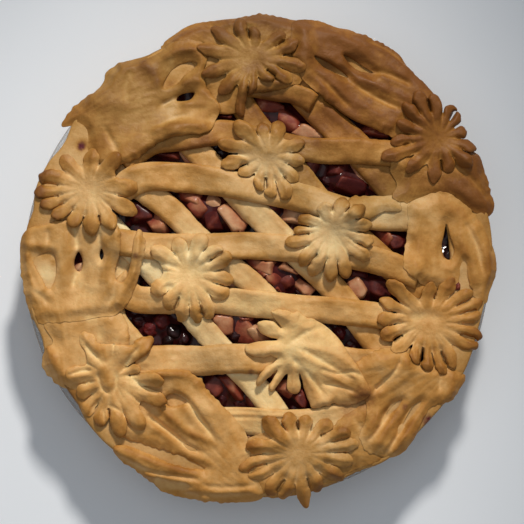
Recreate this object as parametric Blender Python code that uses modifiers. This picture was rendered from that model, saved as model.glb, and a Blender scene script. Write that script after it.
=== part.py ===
"""Lattice-topped apple and berry pie, baked in a round dish of clear glass.

Metres, +Z up. The origin is the middle of the dish's underside. The lid's pieces of dough are laid one
after another, each one resting on what already lies below it, as a baker lays them.

The plan of the lid is drawn in layout units of 0.6 mm, u to the right and v towards the front edge.
"""

import math
import random
from statistics import mean

import bmesh
import bpy
from mathutils import Vector
from mathutils.bvhtree import BVHTree
from mathutils.geometry import delaunay_2d_cdt

# Driving dimensions
LAYOUT_UNIT = 0.0006
LAYOUT_CENTRE = (259.0, 263.0)  # the dish's axis, in layout units
GAP = 0.0003  # between pieces that touch

DISH_RIM_RADIUS = 0.1405
DISH_FOOT_RADIUS = 0.127
DISH_HEIGHT = 0.042
GLASS = 0.0045
FOOT_RADIUS = 0.009  # roundness where the wall meets the floor

CRUST = 0.0048  # the dough that lines the dish
LINING_FOOT_RADIUS = 0.126
LINING_BEND = 0.0035  # where the lining turns from the wall to the floor
LINING_TOP_RADIUS = 0.1285
RIM_INNER_RADIUS = 0.1155  # the rim is folded in over the edge of the filling
RIM_OUTER_RADIUS = 0.1385
RIM_THICKNESS = 0.0038
RIM_OVERHANG = 0.006  # how much further the rim reaches at the back of the dish
RIM_OVERHANG_ANGLE = math.radians(70)
RIM_WAVE = 0.0008
RIM_NOTCHES = ((149, 4), (167, 3.5), (199, 4), (216, 4.5), (295, 5))  # (angle, half width) in degrees
RIM_NOTCH_DEPTH = 0.0026
RIM_ROUND = 0.001

FILLING_RADIUS = LINING_TOP_RADIUS - GAP
FILLING_EDGE_HEIGHT = 0.0405
FILLING_CROWN = 0.003
BERRY_RADIUS = 0.0052
BERRY_SIZES = (0.85, 1.1)  # smallest and largest, as shares of that radius
BERRY_SUNK = 0.0022
APPLE_SIZE = (0.0153, 0.011, 0.007)
APPLE_TAPER = (0.72, 0.6)  # its upper side, as shares of its lower one
APPLE_SUNK = 0.0008
APPLE_TILT = 0.2

STRIP_THICKNESS = 0.0045
LEAF_THICKNESS = 0.0042
FLOWER_THICKNESS = 0.0046
EDGE_SHARE = 0.5  # a piece's thickness at its edge, as a share of its full thickness
PETAL_SHARE = 0.76  # where a petal is widest, as a share of its length
PETAL_TIP_SHARE = 0.4  # the width of its tip, as a share of its greatest width
PETAL_CLEARANCE = 0.93  # how much of the room between its neighbours it may fill
PETAL_ROOT_SHARE = 0.56  # how far out from the middle the petals part
PETAL_BACK_SHARES = (0.5, 0.82)
HANGING_HEIGHT = 0.041  # where dough that reaches past the rim comes down to

STRIP_GRID = 0.010
LEAF_GRID = 0.0098
FLOWER_GRID = 0.0085
PROBE_STEP = 0.0013
PROBE_MARGIN = 0.0009
EASING_PASSES = 2  # how often a laid piece's hollows are eased towards their surroundings

TURNED_STEPS = 48

# name: (width, points along its middle), in layout units; the lower strips run down to the right
LOWER_STRIPS = {
    "strip_low_1": (27, [(124, 250), (111, 288), (115, 322), (140, 354), (169, 388), (192, 414)]),
    "strip_low_2": (25, [
        (98, 214), (128, 246), (152, 270), (177, 298), (204, 331), (232, 362), (259, 391), (278, 417)]),
    "strip_low_3": (25, [
        (114, 168), (139, 188), (166, 207), (190, 232), (218, 257), (250, 283), (278, 310), (302, 334)]),
    "strip_low_4": (27, [
        (176, 128), (203, 158), (229, 186), (247, 205), (271, 229), (301, 258), (334, 290), (375, 342),
        (402, 370)]),
    "strip_low_5": (26, [
        (236, 94), (258, 127), (281, 152), (301, 178), (327, 209), (364, 243), (403, 278), (424, 298)]),
    "strip_low_6": (32, [
        (288, 76), (310, 100), (331, 122), (352, 142), (373, 165), (392, 186), (408, 205)]),
}

# the upper strips run nearly level across the pie
UPPER_STRIPS = {
    "strip_top_1": (20, [(236, 86), (268, 90), (296, 95), (314, 104)]),
    "strip_top_2": (26, [
        (122, 166), (150, 143), (182, 139), (222, 133), (262, 141), (310, 150), (358, 151), (412, 154)]),
    "strip_top_3": (29, [
        (110, 198), (140, 180), (176, 178), (215, 183), (256, 190), (300, 198), (340, 210), (376, 216),
        (412, 217)]),
    "strip_top_4": (27, [
        (112, 243), (150, 247), (200, 248), (250, 247), (300, 250), (350, 256), (386, 264), (420, 277)]),
    "strip_top_5": (27, [
        (116, 280), (134, 298), (160, 301), (200, 300), (250, 304), (300, 309), (350, 313), (392, 318)]),
    "strip_top_6": (30, [
        (134, 361), (165, 361), (200, 361), (232, 359), (268, 359), (320, 360), (368, 364), (412, 360)]),
    "strip_top_7": (28, [(206, 423), (240, 421), (276, 423), (310, 422), (345, 414), (376, 398)]),
}

# name: (points round its edge, cuts right through it)
LEAVES = {
    "leaf_back": (
        [(160, 46), (176, 31), (192, 22), (212, 19), (236, 16), (261, 11), (290, 16), (308, 21), (318, 42),
         (310, 68), (298, 84), (272, 92), (246, 96), (236, 113), (214, 112), (204, 90), (190, 62),
         (172, 56)],
        []),
    "leaf_front_left": (
        [(49, 328), (60, 320), (96, 317), (120, 318), (130, 336), (124, 366), (104, 392), (90, 400), (76, 392),
         (58, 384), (48, 374), (43, 364), (46, 350), (54, 342)],
        []),
    "leaf_front_middle": (
        [(318, 432), (346, 414), (372, 402), (380, 430), (385, 456), (360, 470), (330, 485), (300, 494),
         (262, 496), (246, 474), (240, 444), (274, 430)],
        []),
    "leaf_middle": (
        [(350, 198), (380, 196), (407, 195), (401, 204), (400, 212), (382, 213), (366, 221), (346, 216)],
        []),
    "leaf_right_upper": (
        [(400, 158), (440, 150), (478, 150), (488, 168), (494, 188), (498, 206), (490, 216), (474, 211),
         (452, 200), (424, 196), (400, 200)],
        []),
    "leaf_left": (
        [(36, 322), (25, 292), (21, 262), (22, 240), (30, 230), (46, 226), (60, 222), (80, 222), (104, 222),
         (118, 226), (121, 240), (120, 256), (116, 271), (117, 281), (124, 283), (129, 271), (132, 256),
         (134, 241), (139, 231), (145, 241), (144, 256), (140, 274), (134, 292), (127, 306), (116, 316),
         (100, 318), (80, 322), (60, 323)],
        [[(35, 261), (52, 253), (57, 264), (56, 280), (50, 290), (43, 279)],
         [(79, 253), (83, 262), (81, 272), (76, 270), (75, 262)],
         [(102, 250), (104, 256), (102, 261), (100, 256)]]),
    "leaf_back_left": (
        [(61, 127), (67, 114), (79, 102), (93, 93), (101, 85), (106, 71), (118, 63), (132, 59), (146, 55),
         (160, 48), (178, 41), (200, 42), (206, 56), (204, 72), (206, 88), (219, 107), (215, 121), (207, 134),
         (186, 137), (166, 141), (150, 150), (138, 160), (124, 166), (108, 169), (94, 168), (86, 152),
         (85, 134), (76, 127)],
        [[(163, 89), (166, 78), (176, 67), (190, 62), (196, 66), (184, 75), (176, 84)],
         [(176, 101), (180, 95), (193, 93), (189, 100)]]),
    "leaf_back_right": (
        [(294, 19), (318, 17), (337, 24), (352, 27), (380, 38), (400, 50), (410, 64), (430, 84), (440, 98),
         (442, 112), (430, 128), (410, 138), (394, 137), (372, 127), (352, 119), (334, 107), (315, 92),
         (300, 78), (292, 58), (290, 38)],
        [[(314, 56), (327, 61), (340, 69), (348, 76), (335, 72), (322, 65)],
         [(344, 54), (352, 57), (364, 65), (374, 71), (360, 69), (350, 62)]]),
    "leaf_right": (
        [(408, 205), (424, 196), (444, 191), (460, 199), (471, 208), (484, 222), (493, 240), (499, 258),
         (498, 276), (492, 292), (488, 304), (478, 300), (470, 284), (466, 262), (456, 289), (440, 289),
         (430, 288), (416, 281), (402, 267), (405, 248), (408, 226)],
        [[(448, 224), (451, 236), (455, 249), (452, 259), (446, 257), (443, 246), (445, 236)]]),
    "leaf_front_right": (
        [(398, 348), (424, 364), (443, 366), (466, 376), (460, 391), (450, 403), (434, 406), (424, 418),
         (416, 436), (404, 452), (390, 458), (376, 455), (364, 450), (358, 436), (364, 420), (364, 402),
         (354, 388), (349, 370), (372, 352)],
        [[(401, 400), (392, 406), (386, 415), (396, 409)],
         [(421, 402), (411, 409), (402, 427), (412, 415)]]),
    "leaf_front": (
        [(132, 374), (150, 370), (170, 369), (188, 371), (201, 380), (210, 393), (222, 405), (244, 430),
         (248, 448), (253, 470), (262, 497), (230, 502), (195, 499), (166, 492), (150, 480), (134, 468),
         (119, 457), (114, 446), (126, 444), (148, 452), (176, 464), (204, 468), (180, 455), (152, 446),
         (128, 438), (116, 428), (114, 410), (120, 392)],
        [[(166, 397), (175, 394), (187, 401), (178, 405), (168, 405)]]),
}

# name: (middle, petal width, tips of its petals)
FLOWERS = {
    "flower_back": ((252, 60), 16, [
        (200, 75), (196, 47), (211, 26), (236, 18), (252, 27), (284, 33), (298, 45), (305, 66), (292, 81),
        (270, 84), (247, 97), (238, 118), (216, 94)]),
    "flower_middle_back": ((266, 157), 16, [
        (235, 121), (261, 123), (280, 121), (304, 142), (304, 160), (298, 181), (288, 200), (273, 199),
        (256, 192), (239, 178), (219, 163), (216, 143)]),
    "flower_left": ((90, 190), 18, [
        (121, 157), (138, 190), (136, 217), (117, 231), (93, 238), (71, 229), (54, 221), (41, 209), (35, 196),
        (40, 174), (62, 156), (90, 150)]),
    "flower_back_right": ((440, 138), 16, [
        (455, 102), (463, 111), (469, 127), (479, 147), (474, 164), (452, 172), (431, 183), (407, 174),
        (379, 156), (390, 140), (396, 122), (401, 104), (414, 91), (434, 92)]),
    "flower_middle_right": ((330, 230), 16, [
        (296, 221), (292, 232), (284, 247), (298, 267), (312, 278), (331, 283), (347, 279), (366, 263),
        (372, 243), (371, 227), (362, 206), (343, 199), (320, 204)]),
    "flower_middle_left": ((188, 276), 18, [
        (153, 246), (176, 239), (201, 234), (219, 246), (231, 257), (233, 281), (228, 297), (213, 318),
        (198, 324), (181, 323), (164, 309), (150, 291)]),
    "flower_right": ((428, 322), 17, [
        (384, 283), (379, 298), (375, 316), (378, 334), (392, 354), (411, 363), (429, 371), (443, 375),
        (457, 367), (478, 351), (485, 335), (483, 317), (484, 302), (472, 289), (454, 278), (430, 282)]),
    "flower_front_left": ((112, 378), 18, [
        (83, 332), (150, 335), (140, 366), (164, 383), (168, 400), (143, 429), (121, 437), (97, 425),
        (85, 414), (79, 396), (67, 374)]),
    "flower_front": ((298, 452), 17, [
        (262, 416), (284, 412), (308, 415), (328, 418), (347, 427), (357, 442), (352, 461), (344, 479),
        (321, 490), (302, 508), (282, 499), (265, 493), (248, 477), (237, 464), (245, 443)]),
}

# the folded leaf in the middle: petals along its left side, a broad rough lobe on its right
FOLDED_LEAF = [
    (276, 340), (260, 334), (258, 322), (272, 322), (280, 328), (270, 312), (292, 312), (304, 317),
    (321, 324), (337, 338), (348, 355), (360, 374), (368, 394), (350, 405), (330, 404), (311, 407),
    (299, 374), (300, 390), (293, 394), (286, 388), (286, 374), (272, 391), (268, 386), (276, 370),
    (258, 386), (256, 378), (266, 366), (276, 358), (250, 356), (244, 347), (256, 342)]

# middles of the fruit that shows in the lid's openings, in layout units
APPLE_PIECES = [
    (270, 106), (292, 125), (312, 130), (344, 176), (358, 186), (196, 204), (236, 222), (214, 222),
    (150, 226), (290, 218), (268, 268), (276, 284), (306, 284), (354, 290), (388, 238), (222, 322),
    (246, 330), (228, 388), (286, 388), (296, 402)]
BERRIES = [
    (282, 112), (262, 104), (328, 180), (336, 192), (352, 192), (222, 212), (206, 216), (180, 198),
    (136, 216), (148, 212), (160, 230), (276, 212), (252, 264), (292, 276), (300, 290), (360, 280),
    (376, 290), (346, 276), (398, 240), (138, 322), (150, 330), (162, 322), (174, 332), (184, 340),
    (168, 342), (236, 336), (212, 384), (240, 400), (222, 398), (276, 396), (308, 400), (340, 334),
    (352, 344), (84, 262), (438, 252), (222, 118), (222, 152), (168, 159), (372, 134)]

COLOURS = {
    "glass": ((0.80, 0.84, 0.84), 0.05),
    "baked dough": ((0.60, 0.34, 0.13), 0.55),
    "pale dough": ((0.72, 0.49, 0.23), 0.5),
    "filling": ((0.10, 0.012, 0.014), 0.2),
}


def plan(u, v):
    """A point of the layout, in metres from the dish's axis."""
    return (u - LAYOUT_CENTRE[0]) * LAYOUT_UNIT, (LAYOUT_CENTRE[1] - v) * LAYOUT_UNIT


def material(name):
    colour, roughness = COLOURS[name]
    made = bpy.data.materials.get(name)
    if made:
        return made
    made = bpy.data.materials.new(name)
    made.use_nodes = True
    shader = made.node_tree.nodes["Principled BSDF"]
    shader.inputs["Base Color"].default_value = (*colour, 1)
    shader.inputs["Roughness"].default_value = roughness
    shader.inputs["Metallic"].default_value = 0
    if name == "glass":
        shader.inputs["Transmission Weight"].default_value = 1
    return made


def add_object(name, mesh, material_name, collection):
    obj = bpy.data.objects.new(name, mesh)
    mesh.materials.append(material(material_name))
    mesh.shade_smooth()
    mesh.set_sharp_from_angle(angle=math.radians(50))
    collection.objects.link(obj)
    return obj


def smooth_curve(points, closed, step):
    """Points about a step apart on a Catmull-Rom curve through the given points."""
    points = [Vector(p) for p in points]
    count = len(points)
    spans = count if closed else count - 1
    at = (lambda i: points[i % count]) if closed else (lambda i: points[min(max(i, 0), count - 1)])
    found = []
    for i in range(spans):
        a, b, c, d = at(i - 1), at(i), at(i + 1), at(i + 2)
        cuts = max(1, round((c - b).length / step))
        for j in range(cuts):
            t = j / cuts
            found.append(0.5 * (2 * b + (c - a) * t + (2 * a - 5 * b + 4 * c - d) * t**2
                                + (3 * b - a - 3 * c + d) * t**3))
    return found if closed else found + [points[-1]]


def strip_outline(width, middle, step):
    """The edge of a strip of even width along a curve through the points of its middle."""
    curve = smooth_curve([plan(*p) for p in middle], False, step)
    half = width * LAYOUT_UNIT / 2
    left, right = [], []
    for i, point in enumerate(curve):
        along = (curve[min(i + 1, len(curve) - 1)] - curve[max(i - 1, 0)]).normalized()
        across = Vector((-along.y, along.x)) * half
        left.append(point + across)
        right.append(point - across)
    return left + right[::-1]


def flower_outline(middle, petal_width, tips):
    """Petals from the middle out to their tips, each joined to the next where their sides meet.

    It also gives the points along each petal's back, where the dough is at its thickest.
    """
    centre = Vector(plan(*middle))
    petals = sorted((Vector(plan(*tip)) - centre for tip in tips), key=lambda p: math.atan2(p.y, p.x))
    outline, backs = [], []
    for before, petal, after in zip(petals[-1:] + petals, petals, petals[1:] + petals[:1]):
        along = petal.normalized()
        across = Vector((-along.y, along.x))
        widest = PETAL_SHARE * petal
        halves = []
        for other in (before, after):
            half_turn = min(abs(petal.angle_signed(other, 0)) / 2, 1)
            room = widest.length * math.tan(half_turn)
            halves.append(PETAL_CLEARANCE * min(petal_width * LAYOUT_UNIT / 2, room))
        right, left = halves
        outline += [centre + widest - across * right, centre + petal - across * right * PETAL_TIP_SHARE,
                    centre + petal + across * left * PETAL_TIP_SHARE, centre + widest + across * left]
        between = (along + after.normalized()).normalized()
        outline.append(centre + between * min(petal.length, after.length) * PETAL_ROOT_SHARE)
        backs += [centre + petal * share for share in PETAL_BACK_SHARES]
    return outline, backs


def inside(point, outline):
    found = False
    for a, b in zip(outline, outline[1:] + outline[:1]):
        if (a.y > point.y) != (b.y > point.y):
            if point.x < a.x + (b.x - a.x) * (point.y - a.y) / (b.y - a.y):
                found = not found
    return found


def edge_distance(point, outline):
    nearest = math.inf
    for a, b in zip(outline, outline[1:] + outline[:1]):
        side = b - a
        share = min(max((point - a).dot(side) / max(side.length_squared, 1e-12), 0), 1)
        nearest = min(nearest, (a + side * share - point).length)
    return nearest


def plan_mesh(outline, cuts, grid, backs):
    """Triangles over the outline, without the cuts: (points, triangles), seen from above."""
    rings = [outline] + cuts
    xs = [p.x for p in outline]
    ys = [p.y for p in outline]
    points = [p for ring in rings for p in ring]
    row_height = grid * math.sqrt(3) / 2
    for row in range(int((max(ys) - min(ys)) / row_height) + 1):
        for column in range(int((max(xs) - min(xs)) / grid) + 2):
            point = Vector((min(xs) + (column - (row % 2) / 2) * grid, min(ys) + row * row_height))
            if inside(point, outline) and not any(inside(point, cut) for cut in cuts):
                if min(edge_distance(point, ring) for ring in rings) > 0.42 * grid:
                    if all((point - back).length > 0.5 * grid for back in backs):
                        points.append(point)
    points += backs
    faces, start = [], 0
    for ring in rings:
        faces.append(list(range(start, start + len(ring))))
        start += len(ring)
    points, _, triangles, *_ = delaunay_2d_cdt(points, [], faces, 1, 1e-6)
    kept = []
    for triangle in triangles:
        middle = sum((points[i] for i in triangle), Vector((0, 0))) / 3
        if inside(middle, outline) and not any(inside(middle, cut) for cut in cuts):
            kept.append(triangle)
    return points, kept


class Bake:
    """What lies in the dish so far, so that the next piece of dough can be laid on it."""

    def __init__(self, collection):
        self.collection = collection
        self.points = []
        self.faces = []
        self.tree = None

    def add_surface(self, obj):
        graph = bpy.context.evaluated_depsgraph_get()
        mesh = obj.evaluated_get(graph).to_mesh()
        start = len(self.points)
        self.points += [obj.matrix_world @ v.co for v in mesh.vertices]
        self.faces += [[start + i for i in polygon.vertices] for polygon in mesh.polygons]
        self.tree = BVHTree.FromPolygons(self.points, self.faces)

    def height(self, point, radius):
        """The highest place below a disc about the point."""
        highest = HANGING_HEIGHT
        steps = math.ceil(radius / PROBE_STEP)
        for i in range(-steps, steps + 1):
            for j in range(-steps, steps + 1):
                shift = Vector((i, j)) * (radius / steps)
                if shift.length <= radius * 1.001:
                    hit = self.tree.ray_cast((point.x + shift.x, point.y + shift.y, 0.2), (0, 0, -1))[0]
                    if hit:
                        highest = max(highest, hit.z)
        return highest

    def lay(self, name, outline, cuts, thickness, grid, material_name, backs=()):
        """Lays one piece of dough on what is there, thinner towards its edge."""
        points, triangles = plan_mesh(outline, cuts, grid, backs)
        bm = bmesh.new()
        on_edge = bm.verts.layers.int.new("on edge")
        used = sorted({i for triangle in triangles for i in triangle})
        verts = {i: bm.verts.new((*points[i], 0)) for i in used}
        for triangle in triangles:
            bm.faces.new([verts[i] for i in triangle])
        heights = {}
        for vert in bm.verts:
            reach = max(edge.calc_length() for edge in vert.link_edges)
            heights[vert] = self.height(vert.co, reach + PROBE_MARGIN) + GAP
        for _ in range(EASING_PASSES):
            heights = {vert: max(height, mean(heights[edge.other_vert(vert)] for edge in vert.link_edges))
                       for vert, height in heights.items()}
        for vert, height in heights.items():
            vert.co.z = height
            vert[on_edge] = vert.is_boundary
        raised = bmesh.ops.extrude_face_region(bm, geom=bm.faces[:])["geom"]
        for element in raised:
            if isinstance(element, bmesh.types.BMVert):
                element.co.z += thickness * (EDGE_SHARE if element[on_edge] else 1)
        bm.verts.layers.int.remove(on_edge)
        bmesh.ops.recalc_face_normals(bm, faces=bm.faces[:])
        mesh = bpy.data.meshes.new(name)
        bm.to_mesh(mesh)
        bm.free()
        obj = add_object(name, mesh, material_name, self.collection)
        self.add_surface(obj)
        return obj


def turned_object(name, profile, material_name, collection):
    """A closed profile of (radius, height), turned about Z with a Screw modifier."""
    mesh = bpy.data.meshes.new(name)
    count = len(profile)
    closing = [] if profile[0][0] == 0 and profile[-1][0] == 0 else [(count - 1, 0)]
    mesh.from_pydata([(r, 0, z) for r, z in profile], [(i, i + 1) for i in range(count - 1)] + closing, [])
    obj = add_object(name, mesh, material_name, collection)
    screw = obj.modifiers.new("turn", "SCREW")
    screw.steps = TURNED_STEPS
    screw.render_steps = TURNED_STEPS
    screw.use_merge_vertices = True
    screw.merge_threshold = 1e-5
    screw.use_smooth_shade = True
    return obj


def arc(centre, radius, start_degrees, end_degrees, steps):
    """Points (radius, height) on an arc about a centre of the profile."""
    sweep = end_degrees - start_degrees
    angles = [math.radians(start_degrees + sweep * i / steps) for i in range(steps + 1)]
    return [(centre[0] + radius * math.cos(a), centre[1] + radius * math.sin(a)) for a in angles]


def make_dish(collection):
    """A straight-sided dish: the profile runs down its outer side and back up its inner one."""
    outer_foot = arc((DISH_FOOT_RADIUS, FOOT_RADIUS), FOOT_RADIUS, -15, -90, 3)
    inner_foot = arc((DISH_FOOT_RADIUS, FOOT_RADIUS), FOOT_RADIUS - GLASS, -90, -15, 3)
    rim = arc((DISH_RIM_RADIUS - GLASS / 2, DISH_HEIGHT - GLASS / 2), GLASS / 2, 180, 0, 4)
    profile = [*outer_foot, (0, 0), (0, GLASS), *inner_foot, *rim]
    return turned_object("glass_dish", profile, "glass", collection)


def rim_radius(radius, angle):
    """The rim of the crust reaches further at the back, and its edge is uneven and drawn in at places."""
    reach = RIM_OVERHANG * max(0, math.cos(angle - RIM_OVERHANG_ANGLE)) ** 2
    reach += RIM_WAVE * (math.sin(5 * angle) + math.sin(11 * angle + 1))
    for place, half_width in RIM_NOTCHES:
        reach -= RIM_NOTCH_DEPTH * math.exp(-((math.degrees(angle) - place) / half_width) ** 2)
    return radius + max(reach, -RIM_NOTCH_DEPTH)


def crust_wall():
    """The inner side of the dough that lines the dish, from below its rim down to its floor."""
    foot = LINING_FOOT_RADIUS - CRUST
    floor = GLASS + GAP + CRUST
    return [(LINING_TOP_RADIUS, DISH_HEIGHT - CRUST), (foot, floor + LINING_BEND),
            (foot - LINING_BEND, floor)]


def make_crust(collection):
    """The dough that lines the dish and lies over its rim, turned by hand because its rim is uneven."""
    wall = DISH_RIM_RADIUS - GLASS - GAP
    floor = GLASS + GAP
    low = DISH_HEIGHT + GAP
    middle = low + RIM_THICKNESS / 2
    high = low + RIM_THICKNESS
    rim = [(RIM_OUTER_RADIUS, low), (RIM_OUTER_RADIUS + RIM_ROUND, middle), (RIM_OUTER_RADIUS, high)]
    outside = [(0, floor), (LINING_FOOT_RADIUS - CRUST, floor),
               (LINING_FOOT_RADIUS + RIM_ROUND, floor + CRUST), (wall - RIM_ROUND, low - CRUST),
               (wall - GAP, low)]
    inside_rim = [(RIM_INNER_RADIUS + RIM_ROUND, high), (RIM_INNER_RADIUS, middle),
                  (RIM_INNER_RADIUS + RIM_ROUND, low), (LINING_TOP_RADIUS, low)]
    profile = [*outside, *rim, *inside_rim, *crust_wall(), (0, floor + CRUST)]
    uneven = range(len(outside), len(outside) + len(rim))
    bm = bmesh.new()
    rings = []
    for index, (radius, height) in enumerate(profile):
        if radius == 0:
            rings.append([bm.verts.new((0, 0, height))])
            continue
        ring = []
        for step in range(TURNED_STEPS):
            angle = 2 * math.pi * step / TURNED_STEPS
            reach = rim_radius(radius, angle) if index in uneven else radius
            ring.append(bm.verts.new((reach * math.cos(angle), reach * math.sin(angle), height)))
        rings.append(ring)
    for low, high in zip(rings, rings[1:]):
        for i in range(TURNED_STEPS):
            j = (i + 1) % TURNED_STEPS
            corners = [low[i % len(low)], low[j % len(low)], high[j % len(high)], high[i % len(high)]]
            bm.faces.new(list(dict.fromkeys(corners)))
    bmesh.ops.recalc_face_normals(bm, faces=bm.faces[:])
    mesh = bpy.data.meshes.new("crust_base")
    bm.to_mesh(mesh)
    bm.free()
    return add_object("crust_base", mesh, "baked dough", collection)


def filling_height(x, y):
    return FILLING_EDGE_HEIGHT + FILLING_CROWN * (1 - (x * x + y * y) / FILLING_RADIUS**2)


def add_apple(collection, u, v, draw):
    """A wedge of apple, sunk in the filling with one side up."""
    x, y = plan(u, v)
    bm = bmesh.new()
    bmesh.ops.create_cube(bm, size=1)
    for vert in bm.verts:
        if vert.co.z > 0:
            vert.co.x *= APPLE_TAPER[0]
            vert.co.y *= APPLE_TAPER[1]
        vert.co = [size * place for size, place in zip(APPLE_SIZE, vert.co)]
    mesh = bpy.data.meshes.new("apple piece")
    bm.to_mesh(mesh)
    bm.free()
    obj = bpy.data.objects.new("apple piece", mesh)
    obj.location = (x, y, filling_height(x, y) - APPLE_SUNK)
    obj.rotation_euler = (draw.uniform(-APPLE_TILT, APPLE_TILT), draw.uniform(-APPLE_TILT, APPLE_TILT),
                          draw.uniform(0, 2 * math.pi))
    collection.objects.link(obj)


def add_berry(collection, u, v, draw):
    x, y = plan(u, v)
    bm = bmesh.new()
    bmesh.ops.create_icosphere(bm, subdivisions=1, radius=BERRY_RADIUS * draw.uniform(*BERRY_SIZES))
    mesh = bpy.data.meshes.new("berry")
    bm.to_mesh(mesh)
    bm.free()
    obj = bpy.data.objects.new("berry", mesh)
    obj.location = (x, y, filling_height(x, y) - BERRY_SUNK)
    obj.rotation_euler = [draw.uniform(0, math.pi) for _ in range(3)]
    collection.objects.link(obj)


def make_filling(collection):
    """The filling as one body: a low dome of cooked fruit with the pieces that show fused on."""
    draw = random.Random(7)
    wall = [(radius - 2 * GAP, height + GAP) for radius, height in crust_wall()]
    top = [(r * FILLING_RADIUS, filling_height(r * FILLING_RADIUS, 0)) for r in (0, 0.3, 0.55, 0.8)]
    profile = [*top, (FILLING_RADIUS - GAP, FILLING_EDGE_HEIGHT), *wall, (0, wall[-1][1])]
    core = turned_object("filling", profile, "filling", collection)
    fruit = bpy.data.collections.new("fruit")
    collection.children.link(fruit)
    for u, v in APPLE_PIECES:
        add_apple(fruit, u, v, draw)
    for u, v in BERRIES:
        add_berry(fruit, u, v, draw)
    join = core.modifiers.new("fuse", "BOOLEAN")
    join.operation = "UNION"
    join.operand_type = "COLLECTION"
    join.collection = fruit
    join.solver = "MANIFOLD"
    bpy.context.view_layer.update()
    graph = bpy.context.evaluated_depsgraph_get()
    fused = bpy.data.meshes.new_from_object(core.evaluated_get(graph))
    core.modifiers.clear()
    core.data = fused
    for obj in list(fruit.objects):
        bpy.data.objects.remove(obj)
    bpy.data.collections.remove(fruit)
    return core


def main():
    for obj in list(bpy.data.objects):
        bpy.data.objects.remove(obj)
    pie = bpy.data.collections.new("apple pie")
    bpy.context.scene.collection.children.link(pie)

    dish = make_dish(pie)
    crust = make_crust(pie)
    filling = make_filling(pie)
    bake = Bake(pie)
    for obj in (dish, crust, filling):
        bake.add_surface(obj)

    for strips in (LOWER_STRIPS, UPPER_STRIPS):
        for name, (width, middle) in strips.items():
            outline = strip_outline(width, middle, STRIP_GRID)
            bake.lay(name, outline, [], STRIP_THICKNESS, STRIP_GRID, "pale dough")
    for name, (edge, cuts) in LEAVES.items():
        outline = smooth_curve([plan(*p) for p in edge], True, LEAF_GRID)
        holes = [smooth_curve([plan(*p) for p in cut], True, LEAF_GRID) for cut in cuts]
        bake.lay(name, outline, holes, LEAF_THICKNESS, LEAF_GRID, "baked dough")
    folded = smooth_curve([plan(*p) for p in FOLDED_LEAF], True, LEAF_GRID)
    bake.lay("leaf_folded", folded, [], LEAF_THICKNESS, LEAF_GRID, "pale dough")
    for name, (middle, width, tips) in FLOWERS.items():
        outline, backs = flower_outline(middle, width, tips)
        bake.lay(name, outline, [], FLOWER_THICKNESS, FLOWER_GRID, "baked dough", backs)


main()
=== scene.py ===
"""The looks of a lattice-topped apple and berry pie in its round glass dish.

Metres, +Z up. Each piece of dough is laid on a height field of what already lies below it, so that it sags
over gaps and climbs over its neighbours. Rounded edges, grooves and browning are then worked out from the
distance to its outline.

The plan of the lid is drawn in layout units of 0.6 mm, u to the right and v towards the front edge.
"""

import math

import bpy
import numpy as np
from mathutils import Matrix, Vector
from mathutils.geometry import delaunay_2d_cdt


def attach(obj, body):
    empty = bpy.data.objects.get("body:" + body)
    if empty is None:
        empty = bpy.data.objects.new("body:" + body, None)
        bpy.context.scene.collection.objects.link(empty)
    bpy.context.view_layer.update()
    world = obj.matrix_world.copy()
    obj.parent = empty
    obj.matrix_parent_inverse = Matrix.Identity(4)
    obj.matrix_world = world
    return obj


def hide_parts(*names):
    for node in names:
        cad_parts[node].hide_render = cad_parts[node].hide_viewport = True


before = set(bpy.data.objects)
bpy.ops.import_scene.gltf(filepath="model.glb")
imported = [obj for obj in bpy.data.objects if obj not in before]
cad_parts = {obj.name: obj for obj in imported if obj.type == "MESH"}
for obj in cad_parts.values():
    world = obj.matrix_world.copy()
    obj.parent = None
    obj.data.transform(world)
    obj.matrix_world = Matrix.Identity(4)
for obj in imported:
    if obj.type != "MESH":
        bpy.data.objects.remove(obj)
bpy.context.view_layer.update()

# The lid's plan
LAYOUT_UNIT = 0.0006
LAYOUT_CENTRE = (259.0, 263.0)

# The dish and what lines it
DISH_RIM_RADIUS = 0.1405
DISH_FOOT_RADIUS = 0.127
DISH_HEIGHT = 0.042
GLASS = 0.0045
FOOT_RADIUS = 0.009
CRUST = 0.0048
LINING_FOOT_RADIUS = 0.126
LINING_TOP_RADIUS = 0.1285
LINING_BEND = 0.0035
RIM_INNER_RADIUS = 0.1155
RIM_OUTER_RADIUS = 0.1385
RIM_THICKNESS = 0.0038
RIM_OVERHANG = 0.006
RIM_OVERHANG_ANGLE = math.radians(70)
RIM_WAVE = 0.0008
RIM_NOTCHES = ((149, 4), (167, 3.5), (199, 4), (216, 4.5), (295, 5))  # (angle, half width) in degrees
RIM_NOTCH_DEPTH = 0.0026
FILLING_RADIUS = LINING_TOP_RADIUS - 0.0003
FILLING_EDGE_HEIGHT = 0.0405
FILLING_CROWN = 0.003
FRUIT_HEIGHT = 0.0016  # how far the fruit stands above the filling, on average

# The dough, kind by kind. A form is its thickness, its height at the edge and how far in the edge is rounded.
FORM = {
    "strip": (0.0044, 0.0013, 0.0030),
    "leaf": (0.0042, 0.0012, 0.0028),
    "flower": (0.0034, 0.0012, 0.0019),
}
MELTED_FORM = (0.0034, 0.00012, 0.0085)
MELTING = {"strip": (0.0, 0.30), "leaf": (1.0, 0.75), "flower": (0.75, 0.60)}  # where listed, by chance
MELTED_SHARE = 0.35
MELTED_WAVES = ((0.5, 17, 14),)  # see noise_sum
MELTED_DROP = 0.0012  # by which a melted edge may follow what lies below it
UNDERSIDE_ROUND = 0.0010
HANGING_HEIGHT = 0.041
STREAK_HEIGHT = {"strip": 0.00004, "leaf": 0.00008, "flower": 0.00010}
STREAK_WAVES = 8
RAGGED = {"strip": 0.00003, "leaf": 0.00012, "flower": 0.00006}
RAGGED_WAVES = (0.013, 0.0075, 0.0045)
STRIP_WAVE = 0.35  # layout units, of a strip's width
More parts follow.
